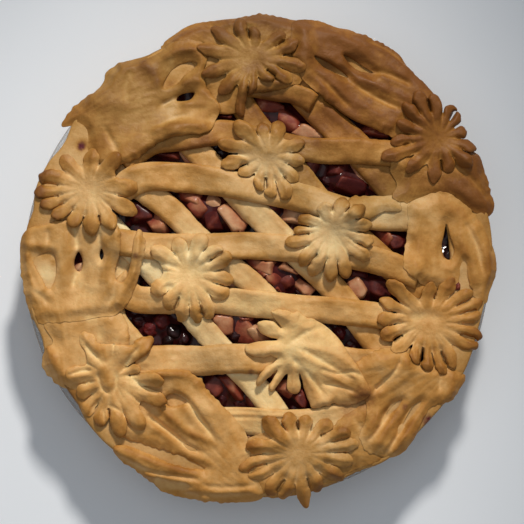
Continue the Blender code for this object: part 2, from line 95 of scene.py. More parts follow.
PETAL_BLEND = 0.0024  # how sharply one petal gives way to the next
PETAL_BENDS = (-0.07, 0.07)  # of its length
PETAL_BREADTHS = (0.88, 1.06)
PETAL_RISES = (-0.0006, 0.0012)
PETAL_LEANS = (-0.11, 0.11)
PETAL_BROWNS = (-0.02, 0.30)
FAN_WIDTH = {"leaf": 0.05, "flower": 0.02}  # how fast the lines in the dough run apart
GRAIN_STRETCH = 0.22  # of the fine streaks, along the grain
GROOVE_STRENGTH = 1.4
DEEPEST_GROOVE = 0.8  # of the dough's thickness
THINNEST = 1e-5
SWELL = ((0.00030, 10, 22), (0.00034, 11, 11), (0.00021, 12, 5), (0.00008, 16, 2))  # see noise_sum
SEED = {"strip": 100, "leaf": 400, "flower": 200, "streaks": 300}

# How the dough browns
OUTER_BROWNING = 0.10
OUTER_RADIUS = 0.14
PROUD_REACH = 7  # cells, over which dough that stands proud browns more
PROUD_LIMIT = 0.002
PROUD_BROWNING = {"strip": 60.0, "leaf": 50.0, "flower": 80.0}  # a metre
GROOVE_BROWNING = 70  # a metre, less in a groove and more on a ridge
GROOVE_LIMIT = 0.0025
EDGE_BROWNING = 0.07
EDGE_REACH = 0.0014
STREAK_BROWNING = 0.014
UNDERSIDE_PALER = 0.05
# a strip is browner on its side towards the front: partly real browning, partly painted shade on the side
# away from the key light
FRONT_SIDE_SHADE_AND_BROWNING = 0.06  # of a strip, on the side towards the front
STRIP_WAVE_BROWNING = 0.03
STRIP_WAVE_LENGTHS = (0.007, 0.012, 0.022)
MOTTLE = ((0.05, 13, 14), (0.035, 14, 5), (0.02, 15, 2))  # see noise_sum

# The height field
CELL = 0.0006
HALF_SPAN = 0.162
COUNT = round(2 * HALF_SPAN / CELL) + 1
WINDOW_MARGIN = 0.012
DRAPE_RADIUS = 4  # cells
DRAPE_PASSES = 14
CONTACT_RADIUS = 2  # cells

# The meshes
OUTLINE_STEP = 0.0009
LINE_STEP = 0.004
INSETS = (0.0003, 0.0009)
GRID_STEP = 0.0009
GRID_CLEARANCE = 0.45  # of a step, from the inner ring of points
INSET_KEPT = 0.93  # of its depth, which an inset point has to keep from the outline
ON_EDGE = 1e-6

# name: (width, how browned it is, points along its middle)
LOWER_STRIPS = {
    "strip_low_1": (27, 0.38, [(124, 250), (111, 288), (115, 322), (140, 354), (169, 388), (192, 414)]),
    "strip_low_2": (25, 0.22, [
        (98, 214), (128, 246), (152, 270), (177, 298), (204, 331), (232, 362), (259, 391), (278, 417)]),
    "strip_low_3": (25, 0.46, [
        (114, 168), (139, 188), (166, 207), (190, 232), (218, 257), (250, 283), (278, 310), (302, 334)]),
    "strip_low_4": (27, 0.46, [
        (176, 128), (203, 158), (229, 186), (247, 205), (271, 229), (301, 258), (334, 290), (375, 342),
        (402, 370)]),
    "strip_low_5": (26, 0.76, [
        (236, 94), (258, 127), (281, 152), (301, 178), (327, 209), (364, 243), (403, 278), (424, 298)]),
    "strip_low_6": (32, 0.84, [
        (288, 76), (310, 100), (331, 122), (352, 142), (373, 165), (392, 186), (408, 205)]),
}

UPPER_STRIPS = {
    "strip_top_1": (20, 0.73, [(236, 86), (268, 90), (296, 95), (314, 104)]),
    "strip_top_2": (26, 0.76, [
        (122, 166), (150, 143), (182, 139), (222, 133), (262, 141), (310, 150), (358, 151), (412, 154)]),
    "strip_top_3": (29, 0.50, [
        (110, 198), (140, 180), (176, 178), (215, 183), (256, 190), (300, 198), (340, 210), (376, 216),
        (412, 217)]),
    "strip_top_4": (27, 0.57, [
        (112, 243), (150, 247), (200, 248), (250, 247), (300, 250), (350, 256), (386, 264), (420, 277)]),
    "strip_top_5": (27, 0.46, [
        (116, 280), (134, 298), (160, 301), (200, 300), (250, 304), (300, 309), (350, 313), (392, 318)]),
    "strip_top_6": (30, 0.47, [
        (134, 361), (165, 361), (200, 361), (232, 359), (268, 359), (320, 360), (368, 364), (412, 360)]),
    "strip_top_7": (28, 0.38, [(206, 423), (240, 421), (276, 423), (310, 422), (345, 414), (376, 398)]),
}

# name: (how browned it is, where the lines in its dough run out from, points round its edge, its cuts)
LEAVES = {
    "leaf_back": (
        0.70, (252, 60),
        [(160, 46), (176, 31), (192, 22), (212, 19), (236, 16), (261, 11), (290, 16), (308, 21), (318, 42),
         (310, 68), (298, 84), (272, 92), (246, 96), (236, 113), (214, 112), (204, 90), (190, 62), (172, 56)],
        []),
    "leaf_front_left": (
        0.45, (70, 420),
        [(45, 324), (58, 311), (94, 308), (119, 311), (130, 336), (124, 366), (104, 392), (90, 400),
         (76, 392), (58, 384), (48, 374), (43, 364), (46, 350), (54, 342)],
        []),
    "leaf_front_middle": (
        0.60, (298, 452),
        [(318, 432), (346, 414), (372, 402), (380, 430), (385, 456), (360, 470), (330, 485), (300, 494),
         (262, 496), (246, 474), (240, 444), (274, 430)],
        []),
    "leaf_middle": (
        0.52, (500, 206),
        [(350, 198), (380, 196), (407, 195), (401, 204), (400, 212), (382, 213), (366, 221), (346, 216)],
        []),
    "leaf_right_upper": (
        0.79, (440, 138),
        [(396, 156), (440, 150), (478, 150), (488, 168), (494, 188), (498, 206), (490, 216), (474, 211),
         (452, 200), (424, 198), (404, 203), (392, 197), (397, 184), (390, 170)],
        []),
    "leaf_left": (
        0.47, (80, 380),
        [(36, 322), (25, 292), (21, 262), (22, 240), (30, 230), (46, 226), (60, 222), (80, 222), (104, 222),
         (118, 226), (121, 240), (120, 256), (116, 271), (117, 281), (124, 283), (129, 271), (132, 256),
         (134, 241), (139, 231), (145, 241), (144, 256), (140, 274), (134, 292), (127, 306), (116, 316),
         (100, 318), (80, 322), (60, 323)],
        [[(35, 261), (52, 253), (57, 264), (56, 280), (50, 290), (43, 279)],
         [(79, 253), (83, 262), (81, 272), (76, 270), (75, 262)],
         [(102, 250), (104, 256), (102, 261), (100, 256)]]),
    "leaf_back_left": (
        0.69, (60, 130),
        [(61, 127), (67, 114), (79, 102), (93, 93), (101, 85), (106, 71), (118, 63), (132, 59), (146, 55),
         (160, 48), (178, 41), (200, 42), (206, 56), (204, 72), (206, 88), (219, 107), (215, 121), (207, 134),
         (186, 137), (166, 141), (150, 150), (138, 160), (124, 166), (108, 169), (94, 168), (86, 152),
         (85, 134), (76, 127)],
        [[(163, 89), (166, 78), (176, 67), (190, 62), (196, 66), (184, 75), (176, 84)],
         [(176, 101), (180, 95), (193, 93), (189, 100)]]),
    "leaf_back_right": (
        0.77, (480, 150),
        [(294, 19), (318, 17), (337, 24), (352, 27), (380, 38), (400, 50), (410, 64), (430, 84), (440, 98),
         (442, 112), (430, 128), (410, 138), (394, 137), (372, 127), (352, 119), (334, 107), (315, 92),
         (300, 78), (292, 58), (290, 38)],
        [[(314, 56), (327, 61), (340, 69), (348, 76), (335, 72), (322, 65)],
         [(344, 54), (352, 57), (364, 65), (374, 71), (360, 69), (350, 62)]]),
    "leaf_right": (
        0.52, (440, 380),
        [(408, 205), (424, 196), (444, 191), (460, 199), (471, 208), (484, 222), (493, 240), (499, 258),
         (498, 276), (492, 292), (488, 304), (478, 300), (470, 284), (466, 262), (456, 289), (440, 289),
         (430, 288), (416, 281), (402, 267), (405, 248), (408, 226)],
        [[(448, 224), (451, 236), (455, 249), (452, 259), (446, 257), (443, 246), (445, 236)]]),
    "leaf_front_right": (
        0.51, (470, 350),
        [(398, 348), (424, 364), (443, 366), (466, 376), (460, 391), (450, 403), (434, 406), (424, 418),
         (416, 436), (404, 452), (390, 458), (376, 455), (364, 450), (358, 436), (364, 420), (364, 402),
         (354, 388), (349, 370), (372, 352)],
        [[(401, 400), (392, 406), (386, 415), (396, 409)],
         [(421, 402), (411, 409), (402, 427), (412, 415)]]),
    "leaf_front": (
        0.50, (290, 520),
        [(132, 374), (150, 370), (170, 369), (188, 371), (201, 380), (210, 393), (222, 405), (244, 430),
         (248, 448), (253, 470), (262, 497), (230, 502), (195, 499), (166, 492), (150, 480), (134, 468),
         (119, 457), (114, 446), (126, 444), (148, 452), (176, 464), (204, 468), (180, 455), (152, 446),
         (128, 438), (116, 428), (114, 410), (120, 392)],
        [[(166, 397), (175, 394), (187, 401), (178, 405), (168, 405)]]),
    "leaf_folded": (
        0.34, (286, 352),
        [(276, 340), (260, 334), (258, 322), (272, 322), (280, 328), (270, 312), (292, 312), (304, 317),
         (321, 324), (337, 338), (348, 355), (360, 374), (368, 394), (350, 405), (330, 404), (311, 407),
         (299, 374), (300, 390), (293, 394), (286, 388), (286, 374), (272, 391), (268, 386), (276, 370),
         (258, 386), (256, 378), (266, 366), (276, 358), (250, 356), (244, 347), (256, 342)],
        []),
}

# name: (middle, petal width, how browned it is, tips of its petals)
FLOWERS = {
    "flower_back": ((252, 60), 16, 0.66, [
        (200, 75), (196, 47), (211, 26), (236, 18), (252, 27), (284, 33), (298, 45), (305, 66), (292, 81),
        (270, 84), (247, 97), (238, 118), (216, 94)]),
    "flower_middle_back": ((266, 157), 16, 0.46, [
        (235, 121), (261, 123), (280, 121), (304, 142), (304, 160), (298, 181), (288, 200), (273, 199),
        (256, 192), (239, 178), (219, 163), (216, 143)]),
    "flower_left": ((90, 190), 18, 0.50, [
        (121, 157), (138, 190), (136, 217), (117, 231), (93, 238), (71, 229), (54, 221), (41, 209), (35, 196),
        (40, 174), (62, 156), (90, 150)]),
    "flower_back_right": ((440, 138), 16, 0.81, [
        (455, 102), (463, 111), (469, 127), (479, 147), (474, 164), (452, 172), (431, 183), (407, 174),
        (379, 156), (390, 140), (396, 122), (401, 104), (414, 91), (434, 92)]),
    "flower_middle_right": ((330, 230), 16, 0.38, [
        (296, 221), (292, 232), (284, 247), (298, 267), (312, 278), (331, 283), (347, 279), (366, 263),
        (372, 243), (371, 227), (362, 206), (343, 199), (320, 204)]),
    "flower_middle_left": ((188, 276), 18, 0.31, [
        (153, 246), (176, 239), (201, 234), (219, 246), (231, 257), (233, 281), (228, 297), (213, 318),
        (198, 324), (181, 323), (164, 309), (150, 291)]),
    "flower_right": ((428, 322), 17, 0.44, [
        (384, 283), (379, 298), (375, 316), (378, 334), (392, 354), (411, 363), (429, 371), (443, 375),
        (457, 367), (478, 351), (485, 335), (483, 317), (484, 302), (472, 289), (454, 278), (430, 282)]),
    "flower_front_left": ((112, 378), 18, 0.35, [
        (83, 332), (150, 335), (140, 366), (164, 383), (168, 400), (143, 429), (121, 437), (97, 425),
        (85, 414), (79, 396), (67, 374)]),
    "flower_front": ((298, 452), 17, 0.49, [
        (262, 416), (284, 412), (308, 415), (328, 418), (347, 427), (357, 442), (352, 461), (344, 479),
        (321, 490), (302, 508), (282, 499), (265, 493), (248, 477), (237, 464), (245, 443)]),
}

# a petal's width: (share of its length, share of half its width, how much less where its tip is pointed)
PETAL_FORM = [(0.66, 0.97, 0), (0.75, 1.0, 0), (0.84, 0.95, 0.14), (0.92, 0.76, 0.30), (0.975, 0.42, 0.20)]
PETAL_ROOM = 0.97  # of the way to the line between two petals
PETAL_UNEVEN = (-0.0002, 0.0002)
PETAL_NOTCH_SHARE = 0.62
PETAL_GROOVE_END = 0.30
PETAL_GROOVE_WIDTH = 0.0008
PETAL_GROOVE_DEPTHS = (0.0016, 0.0013, 0.0009, 0.0005, 0.0002)

# places that are browner or paler than the dough round them: (u, v, radius, amount)
PATCHES = [
    (320, 100, 40, 0.15), (400, 90, 40, 0.08), (262, 30, 50, 0.1), (150, 90, 60, -0.04),
    (300, 350, 28, -0.12), (250, 250, 60, -0.06), (340, 378, 24, 0.2), (360, 392, 12, 0.16),
]

# places where the dough's colour is more olive, greyer and bluer: a painted sheen of the sky's reflection and
# painted cool shade of a dimmer light there: (u, v, radius, amount)
PAINTED_SHEEN = [
    (90, 210, 90, 0.5), (240, 215, 70, 0.7), (330, 215, 60, 0.9), (262, 155, 44, 0.9), (382, 202, 40, 1.2),
    (250, 50, 60, 1.1), (140, 90, 70, 1.25), (366, 80, 50, 0.2), (330, 450, 40, 0.6), (300, 170, 30, 1.5),
    (440, 150, 70, 0.2), (210, 340, 40, 0.6),
]
# what the painted sheen and cool shade multiply the dough's colour by
PAINTED_SHEEN_TINT = (0.87, 1.03, 1.34)

# spots of juice on the dough: (u, v, radius, amount)
JUICE = [
    (81, 148, 3.6, 1.0), (428, 421, 5.5, 1.0), (448, 254, 4.0, 1.0), (361, 397, 11, 0.4),
    (250, 372, 3, 0.6), (346, 408, 7, 0.3), (136, 258, 3, 0.5), (404, 407, 3, 0.5),
]

# where the crust is dark or pale between the pieces of the lid: painted shade darkens it in the slits and
# hollows that it shows through, and a few places are paler: (u, v, radius, amount)
CRUST_SHADE_AND_TONE = [
    (328, 64, 13, 0.45), (346, 58, 8, 0.35), (362, 66, 12, 0.1), (82, 146, 6, 0.5), (46, 256, 6, 0.2),
    (48, 274, 12, -0.26), (54, 264, 3, 0.3), (122, 268, 10, -0.2), (170, 84, 7, 0.35), (184, 72, 12, 0.14),
    (79, 262, 9, 0.5), (102, 256, 5, 0.4), (26, 290, 14, 0.12), (70, 396, 20, 0.25), (100, 78, 40, -0.05),
    (450, 240, 10, 0.2),
]

# where the edge of a leaf has sunk into what lies below it: (u, v, radius)
MELTS = [
    (40, 322, 34), (84, 322, 30), (26, 270, 30), (48, 350, 40), (70, 392, 40), (74, 150, 36),
    (72, 118, 26), (150, 52, 30), (182, 30, 40), (300, 20, 40), (204, 118, 16), (414, 150, 40),
    (470, 200, 44), (492, 240, 30), (492, 300, 30), (410, 216, 20), (404, 254, 24), (438, 290, 30),
    (256, 480, 50), (246, 430, 26), (170, 500, 30), (120, 380, 34), (372, 430, 40), (330, 480, 50),
    (384, 350, 30), (110, 318, 20), (300, 80, 26), (404, 192, 26), (402, 168, 20), (430, 196, 26),
    (452, 194, 22), (66, 120, 16), (104, 76, 18),
]

# name: grooves pressed into the dough, as (width, depth in mm, points along it); a ridge has a negative depth
GROOVES = {
    "leaf_front": [
        (4, -1.0, (148, 373), (185, 374), (199, 383), (208, 394), (220, 413)),
        (3, 2.2, (172, 392), (187, 401), (199, 418), (206, 426), (214, 439)),
        (4, -1.2, (156, 403), (168, 414), (186, 430), (200, 436), (212, 443)),
        (3, 2.4, (146, 414), (160, 424), (175, 436), (190, 447), (202, 452)),
        (4, -0.9, (130, 410), (150, 424), (165, 434), (184, 445)),
        (4, -1.2, (125, 445), (140, 453), (160, 461), (180, 467), (200, 472)),
        (2.5, 1.2, (118, 454), (150, 470), (200, 478)), (4, 2.6, (154, 479), (170, 484), (190, 486)),
        (2.5, 0.7, (200, 484), (226, 486), (256, 484)), (2.5, 0.7, (176, 490), (215, 495), (256, 493)),
    ],
    "leaf_front_right": [
        (3, -0.8, (372, 384), (384, 380), (399, 362)),
        (2.5, 2.0, (372, 392), (384, 380), (394, 370), (400, 358)),
        (4, -0.8, (375, 396), (392, 387), (407, 376)),
        (3, 1.8, (396, 401), (388, 412), (379, 427), (366, 442)),
        (3, 1.8, (421, 402), (408, 416), (398, 434), (386, 452)),
        (4, -0.9, (365, 432), (376, 416), (388, 404)), (4, -0.9, (372, 452), (384, 430), (398, 408)),
        (3, -0.8, (392, 454), (404, 432), (416, 416)), (2.5, 1.0, (441, 368), (439, 392)),
        (4, -0.6, (452, 368), (450, 396)),
    ],
    "leaf_back_left": [
        (2.5, 1.6, (158, 108), (170, 101), (178, 97)), (3, 1.0, (158, 128), (175, 119), (190, 116)),
        (4, -0.9, (150, 136), (170, 127), (198, 128), (209, 130)),
        (4, 0.8, (132, 72), (126, 82), (125, 95), (126, 110)),
        (3, 1.0, (104, 128), (110, 140), (116, 150), (120, 160)),
        (4, -1.0, (178, 88), (192, 82), (205, 84)), (4, -0.9, (178, 106), (194, 105), (210, 106)),
        (6, -0.7, (94, 110), (110, 106), (130, 108)), (5, -0.8, (140, 62), (152, 74), (158, 90)),
        (4, -0.7, (160, 60), (176, 52), (196, 50)),
    ],
    "leaf_left": [
        (3.5, -1.1, (26, 254), (35, 270), (43, 285), (54, 300)), (3, 0.8, (34, 290), (52, 306)),
        (3, 1.0, (116, 282), (114, 296), (106, 308)), (4, -0.9, (139, 236), (137, 256), (131, 282)),
        (3, 1.3, (48, 229), (49, 247)), (4, -0.9, (22, 246), (34, 247), (48, 250)),
        (6, -0.8, (104, 238), (108, 260), (104, 284)), (7, -0.8, (88, 238), (92, 262), (90, 290)),
        (7, -0.9, (66, 236), (68, 262), (64, 286)), (2.5, 1.2, (99, 232), (101, 250)),
        (4, 1.8, (75, 226), (77, 252)), (3, 1.2, (77, 272), (73, 290)),
    ],
    "leaf_back_right": [
        (3, 1.4, (350, 80), (376, 96), (402, 108)), (3, 1.3, (372, 69), (392, 74), (414, 84)),
        (5, -1.0, (330, 84), (352, 100), (384, 118)), (4, -1.0, (356, 74), (384, 88), (412, 98)),
        (2.5, 1.5, (365, 38), (386, 46), (408, 62)), (4, -0.8, (352, 34), (380, 46), (404, 62)),
        (4, -0.8, (300, 44), (316, 56), (330, 60)), (6, -0.9, (318, 30), (344, 40), (366, 52)),
        (4, 0.8, (420, 100), (404, 118), (392, 134)), (3, 1.1, (306, 68), (330, 88), (350, 108)),
    ],
    "leaf_right": [
        (3, 1.2, (466, 222), (478, 246), (484, 274)), (4, -0.8, (456, 232), (470, 262), (476, 292)),
        (8, -0.7, (424, 210), (420, 236), (424, 262)), (4, -0.7, (486, 240), (490, 262), (488, 286)),
    ],
    "leaf_right_upper": [
        (3, 0.9, (446, 160), (470, 176), (490, 200)), (5, -0.7, (430, 168), (456, 186), (480, 208)),
    ],
    "leaf_back": [
        (3.5, 1.4, (243, 24), (250, 30), (256, 38)), (3, 1.1, (208, 22), (214, 30)),
        (3, 1.1, (196, 42), (210, 52)), (3.5, -0.8, (170, 44), (184, 34), (204, 27)),
        (3.5, -0.8, (262, 80), (284, 86), (300, 78)), (4, -0.7, (224, 22), (262, 18), (296, 22)),
    ],
    "leaf_folded": [
        (4, -0.9, (292, 352), (312, 362), (334, 378), (352, 394)),
        (4, -0.7, (298, 346), (326, 352), (350, 366)), (3, 1.2, (290, 358), (306, 374), (322, 394)),
        (3, 1.0, (300, 350), (326, 364), (352, 380)), (3, 0.9, (288, 344), (306, 332), (322, 328)),
        (4, -0.6, (282, 350), (266, 352), (252, 350)),
        (2.5, 1.4, (318, 368), (334, 374), (350, 372), (362, 378)),
        (2.5, 1.3, (320, 384), (338, 386), (354, 392)), (3, -0.7, (296, 362), (310, 384), (318, 402)),
    ],
    "leaf_front_left": [
        (5, -0.8, (44, 340), (56, 360), (74, 384)), (5, 0.7, (100, 326), (104, 344), (100, 362)),
    ],
    "leaf_front_middle": [
        (4, 1.1, (350, 418), (362, 430), (370, 448)), (4, -0.9, (364, 410), (372, 426), (378, 446)),
        (4, -0.9, (340, 424), (350, 440), (356, 462)), (3, 0.8, (262, 490), (300, 490), (340, 476)),
    ],
    "strip_top_7": [
        (2, 0.7, (208, 412), (240, 411), (290, 413)), (2, 0.6, (214, 418), (250, 417), (290, 419)),
    ],
    "strip_low_6": [
        (4, -0.6, (300, 92), (330, 112), (352, 134)), (3, 0.7, (306, 84), (338, 108), (360, 130)),
    ],
    "strip_top_2": [
        (4, -0.5, (130, 152), (160, 136), (200, 130)),
    ],
    "flower_middle_left": [
        (3, 1.0, (150, 262), (166, 266), (180, 270)), (3, 0.9, (160, 290), (174, 286)),
    ],
    "flower_middle_back": [
        (2.5, 1.6, (225, 153), (246, 157)), (2, 0.8, (252, 176), (262, 186), (262, 196)),
        (2, -0.8, (222, 160), (238, 158), (248, 164)),
    ],
    "flower_front_left": [
        (2, 1.8, (70, 375), (84, 371), (94, 370)), (2.5, 1.4, (86, 342), (92, 352), (102, 361)),
        (4, -0.8, (94, 340), (102, 350), (108, 362)), (2.5, 1.6, (142, 346), (132, 356), (126, 365)),
        (5, -1.0, (101, 364), (108, 376), (112, 390)), (2, 1.2, (98, 372), (103, 388), (112, 394)),
        (2, 0.9, (117, 372), (117, 386), (113, 394)), (2, 1.4, (97, 402), (90, 416)),
        (2, 1.2, (104, 404), (106, 424)), (2, 1.2, (110, 404), (124, 412)),
        (2, 1.3, (132, 378), (150, 389), (162, 391)),
    ],
    "flower_right": [
        (1.6, 0.8, (412, 346), (414, 362)), (1.6, 0.9, (418, 342), (420, 358)),
        (6, 0.9, (408, 318), (428, 316), (440, 320)),
    ],
}


def plan(u, v):
    """A point of the layout, in metres from the dish's axis."""
    return (u - LAYOUT_CENTRE[0]) * LAYOUT_UNIT, (LAYOUT_CENTRE[1] - v) * LAYOUT_UNIT


def plan_points(points):
    """Points of the layout as rows of x and y in metres."""
    return np.array([plan(u, v) for u, v in points])


def nearness(x, y, u, v, reach, power=2):
    """1 at a place of the layout, and fading to nothing round it."""
    centre_x, centre_y = plan(u, v)
    return np.exp(-(np.hypot(x - centre_x, y - centre_y) / (reach * LAYOUT_UNIT)) ** power)


def juice_at(points):
    """How much juice stains the dough: fully within 0.6 of a spot's radius, not at all beyond 1.4 of it."""
    stain = np.zeros(len(points))
    for u, v, reach, amount in JUICE:
        gap = np.hypot(*(points[:, :2] - plan(u, v)).T) / (reach * LAYOUT_UNIT)
        stain = np.maximum(stain, amount * np.clip(1.8 - 1.3 * gap, 0, 1))
    return stain


# ---------------------------------------------------------------- the height field

AXIS = -HALF_SPAN + CELL * np.arange(COUNT)
GRID_X, GRID_Y = np.meshgrid(AXIS, AXIS)


def blur(field, radius):
    """The field averaged over a soft square of that many cells each way."""
    size = 2 * radius + 1
    for axis in (0, 1, 0, 1):
        pad = [(radius + 1, radius) if side == axis else (0, 0) for side in (0, 1)]
        total = np.cumsum(np.pad(field, pad, mode="edge"), axis=axis)
        count = field.shape[axis]
        high = total.take(range(size, size + count), axis=axis)
        low = total.take(range(count), axis=axis)
        field = (high - low) / size
    return field


def spread(field, radius):
    """The highest value within that many cells."""
    padded = np.pad(field, radius, mode="edge")
    rows, columns = field.shape
    highest = field
    for i in range(-radius, radius + 1):
        for j in range(-radius, radius + 1):
            if i * i + j * j <= radius * radius + 1:
                part = padded[radius + i:radius + i + rows, radius + j:radius + j + columns]
                highest = np.maximum(highest, part)
    return highest


def noise_field(seed, radius):
    """Even noise over the whole lid with a spread of 1, its bumps about twice that many cells across."""
    field = blur(np.random.default_rng(seed).standard_normal((COUNT, COUNT)), radius)
    return (field - field.mean()) / field.std()


def noise_sum(waves):
    """Noise of several widths, given as (height, seed, radius in cells)."""
    return sum(height * noise_field(seed, radius) for height, seed, radius in waves)


def sample(field, points):
    """The field's values at points (x, y), with straight lines between its cells."""
    place = (np.asarray(points) + HALF_SPAN) / CELL
    place = np.clip(place, 0, COUNT - 1.001)
    column, row = place[:, 0].astype(int), place[:, 1].astype(int)
    fx, fy = place[:, 0] - column, place[:, 1] - row
    low = field[row, column] * (1 - fx) + field[row, column + 1] * fx
    high = field[row + 1, column] * (1 - fx) + field[row + 1, column + 1] * fx
    return low * (1 - fy) + high * fy


def rim_reach(angle):
    """How much further than a circle the rim of the crust reaches at that angle."""
    reach = RIM_OVERHANG * np.maximum(0, np.cos(angle - RIM_OVERHANG_ANGLE)) ** 2
    reach = reach + RIM_WAVE * (np.sin(5 * angle) + np.sin(11 * angle + 1))
    for place, half_width in RIM_NOTCHES:
        reach = reach - RIM_NOTCH_DEPTH * np.exp(-((np.degrees(angle) % 360 - place) / half_width) ** 2)
    return np.maximum(reach, -RIM_NOTCH_DEPTH)


def filling_height(x, y):
    """The even height of the filling, highest in the middle."""
    return FILLING_EDGE_HEIGHT + FILLING_CROWN * (1 - (x * x + y * y) / FILLING_RADIUS**2)


def starting_surface():
    """The tops of the glass, the crust and the filling, before any dough is laid on them."""
    radius = np.hypot(GRID_X, GRID_Y)
    angle = np.arctan2(GRID_Y, GRID_X)
    surface = np.full_like(radius, HANGING_HEIGHT)
    outer = RIM_OUTER_RADIUS + rim_reach(angle)
    on_rim = (radius > RIM_INNER_RADIUS) & (radius < outer)
    surface[on_rim] = DISH_HEIGHT + RIM_THICKNESS
    open_middle = radius <= RIM_INNER_RADIUS
    surface[open_middle] = filling_height(GRID_X, GRID_Y)[open_middle] + FRUIT_HEIGHT
    return surface


# ---------------------------------------------------------------- outlines

def smooth_curve(points, step, closed=True):
    """Points about a step apart on a Catmull-Rom curve through the given points."""
    points = np.asarray(points, float)
    if closed:
        padded = np.concatenate([points[-1:], points, points[:2]])
    else:
        padded = np.concatenate([points[:1], points, points[-1:]])
    found = []
    for a, b, c, d in zip(padded, padded[1:], padded[2:], padded[3:]):
        cuts = max(1, round(float(np.hypot(*(c - b))) / step))
        for t in np.arange(cuts) / cuts:
            found.append(0.5 * (2 * b + (c - a) * t + (2 * a - 5 * b + 4 * c - d) * t**2
                                + (3 * b - a - 3 * c + d) * t**3))
    if not closed:
        found.append(points[-1])
    return np.array(found)


def turned(vectors):
    """The vectors after a quarter turn."""
    return np.stack([-vectors[..., 1], vectors[..., 0]], -1)


def across_ring(ring):
    """At each point of a closed outline, the direction to the left of its run."""
    sides = np.roll(ring, -1, axis=0) - np.roll(ring, 1, axis=0)
    return turned(sides / np.maximum(np.linalg.norm(sides, axis=1), 1e-9)[:, None])


def strip_outline(width, middle, rng):
    """The edge of a strip along a curve through the points of its middle, a little uneven in width."""
    curve = smooth_curve(plan_points(middle), OUTLINE_STEP, closed=False)
    along = np.gradient(curve, axis=0)
    across = turned(along / np.linalg.norm(along, axis=1)[:, None])
    place = np.linspace(0, 1, len(curve))
    sides = []
    for sign in (1, -1):
        waves = sum(rng.uniform(-1, 1) * np.sin(2 * math.pi * (k * place + rng.uniform()))
                    for k in (1, 2, 3, 5))
        half = (width / 2 + STRIP_WAVE * waves) * LAYOUT_UNIT
        sides.append(curve + sign * across * half[:, None])
    return np.concatenate([sides[0], sides[1][::-1]])


def ragged(ring, amount, rng):
    """The outline with small uneven bends and nicks in it."""
    turn = 2 * math.pi * np.arange(len(ring)) / len(ring)
    length = len(ring) * OUTLINE_STEP
    shift = np.zeros(len(ring))
    for reach in RAGGED_WAVES:
        shift += np.sin(round(length / (reach * rng.uniform(0.8, 1.25))) * turn + rng.uniform(0, 6.3))
    uneven = 1 + np.sin(3 * turn + rng.uniform(0, 6.3)) + np.sin(7 * turn + rng.uniform(0, 6.3))
    return ring + across_ring(ring) * (amount * shift * np.clip(uneven, 0.2, 3))[:, None]


def flower_outline(middle, petal_width, tips, rng):
    """A flower of slender petals: its outline, the grooves between them, its middle and its petals' axes."""
    centre = np.array(plan(*middle))
    petals = sorted((plan_points([tip])[0] - centre for tip in tips), key=lambda p: math.atan2(p[1], p[0]))
    outline, grooves = [], []
    for before, petal, after in zip(petals[-1:] + petals[:-1], petals, petals[1:] + petals[:1]):
        length = np.hypot(*petal)
        along = petal / length
        across = turned(along)
        bend, pointed, breadth = rng.uniform(*PETAL_BENDS), rng.uniform(0, 1), rng.uniform(*PETAL_BREADTHS)
        sides = []
        for other, sign in ((before, -1), (after, 1)):
            cosine = np.dot(along, other) / np.hypot(*other)
            half_turn = min(math.acos(min(1, max(-1, cosine))) / 2, 1)
            side = []
            for share, wide, less in PETAL_FORM:
                room = share * length * math.tan(half_turn) * PETAL_ROOM
                wide *= petal_width * LAYOUT_UNIT / 2 * breadth * (1 - less * pointed)
                half = min(wide + rng.uniform(*PETAL_UNEVEN), room)
                side.append(centre + petal * share + across * (sign * half + bend * length * share**2))
            sides.append(side)
        tip = centre + petal + across * bend * length
        outline += [*sides[0], tip, *sides[1][::-1]]
        between = along + after / np.hypot(*after)
        between /= np.hypot(*between)
        reach = min(length, np.hypot(*after))
        outline.append(centre + between * reach * PETAL_NOTCH_SHARE)
        shares = np.linspace(PETAL_NOTCH_SHARE + 0.04, PETAL_GROOVE_END, len(PETAL_GROOVE_DEPTHS))
        line = np.array([centre + between * reach * share for share in shares])
        grooves.append((line, PETAL_GROOVE_WIDTH, PETAL_GROOVE_DEPTHS))
    return smooth_curve(outline, OUTLINE_STEP), grooves, centre, petals


def inside(points, rings):
    """Which points lie inside the first closed outline and in none of the others."""
    found = np.zeros(len(points), bool)
    x, y = points[:, 0], points[:, 1]
    for ring in rings:
        for (ax, ay), (bx, by) in zip(ring, np.roll(ring, -1, axis=0)):
            if ay != by:
                found ^= ((ay > y) != (by > y)) & (x < ax + (bx - ax) * (y - ay) / (by - ay))
    return found


def segment_distance(points, start, end):
    """How far each point is from a line between two points, and the share along it of the nearest place."""
    side = end - start
    share = np.clip(((points - start) @ side) / max(float(side @ side), 1e-14), 0, 1)
    gap = points - start - share[:, None] * side
    return np.sqrt((gap * gap).sum(1)), share


def edge_distance(points, rings):
    """How far each point is from the nearest outline."""
    nearest = np.full(len(points), np.inf)
    for ring in rings:
        for start, end in zip(ring, np.roll(ring, -1, axis=0)):
            nearest = np.minimum(nearest, segment_distance(points, start, end)[0])
    return nearest


def groove_depth(points, grooves):
    """How deep the grooves press each point down: the deepest counts, and ridges raise it."""
    deepest = np.zeros(len(points))
    highest = np.zeros(len(points))
    for line, width, depths in grooves:
        for i in range(len(line) - 1):
            gap, share = segment_distance(points, line[i], line[i + 1])
            depth = depths[i] + (depths[i + 1] - depths[i]) * share
            pressed = depth * np.exp(-(gap / width) ** 2)
            deepest = np.maximum(deepest, pressed)
            highest = np.minimum(highest, pressed)
    return deepest + highest


# ---------------------------------------------------------------- dough

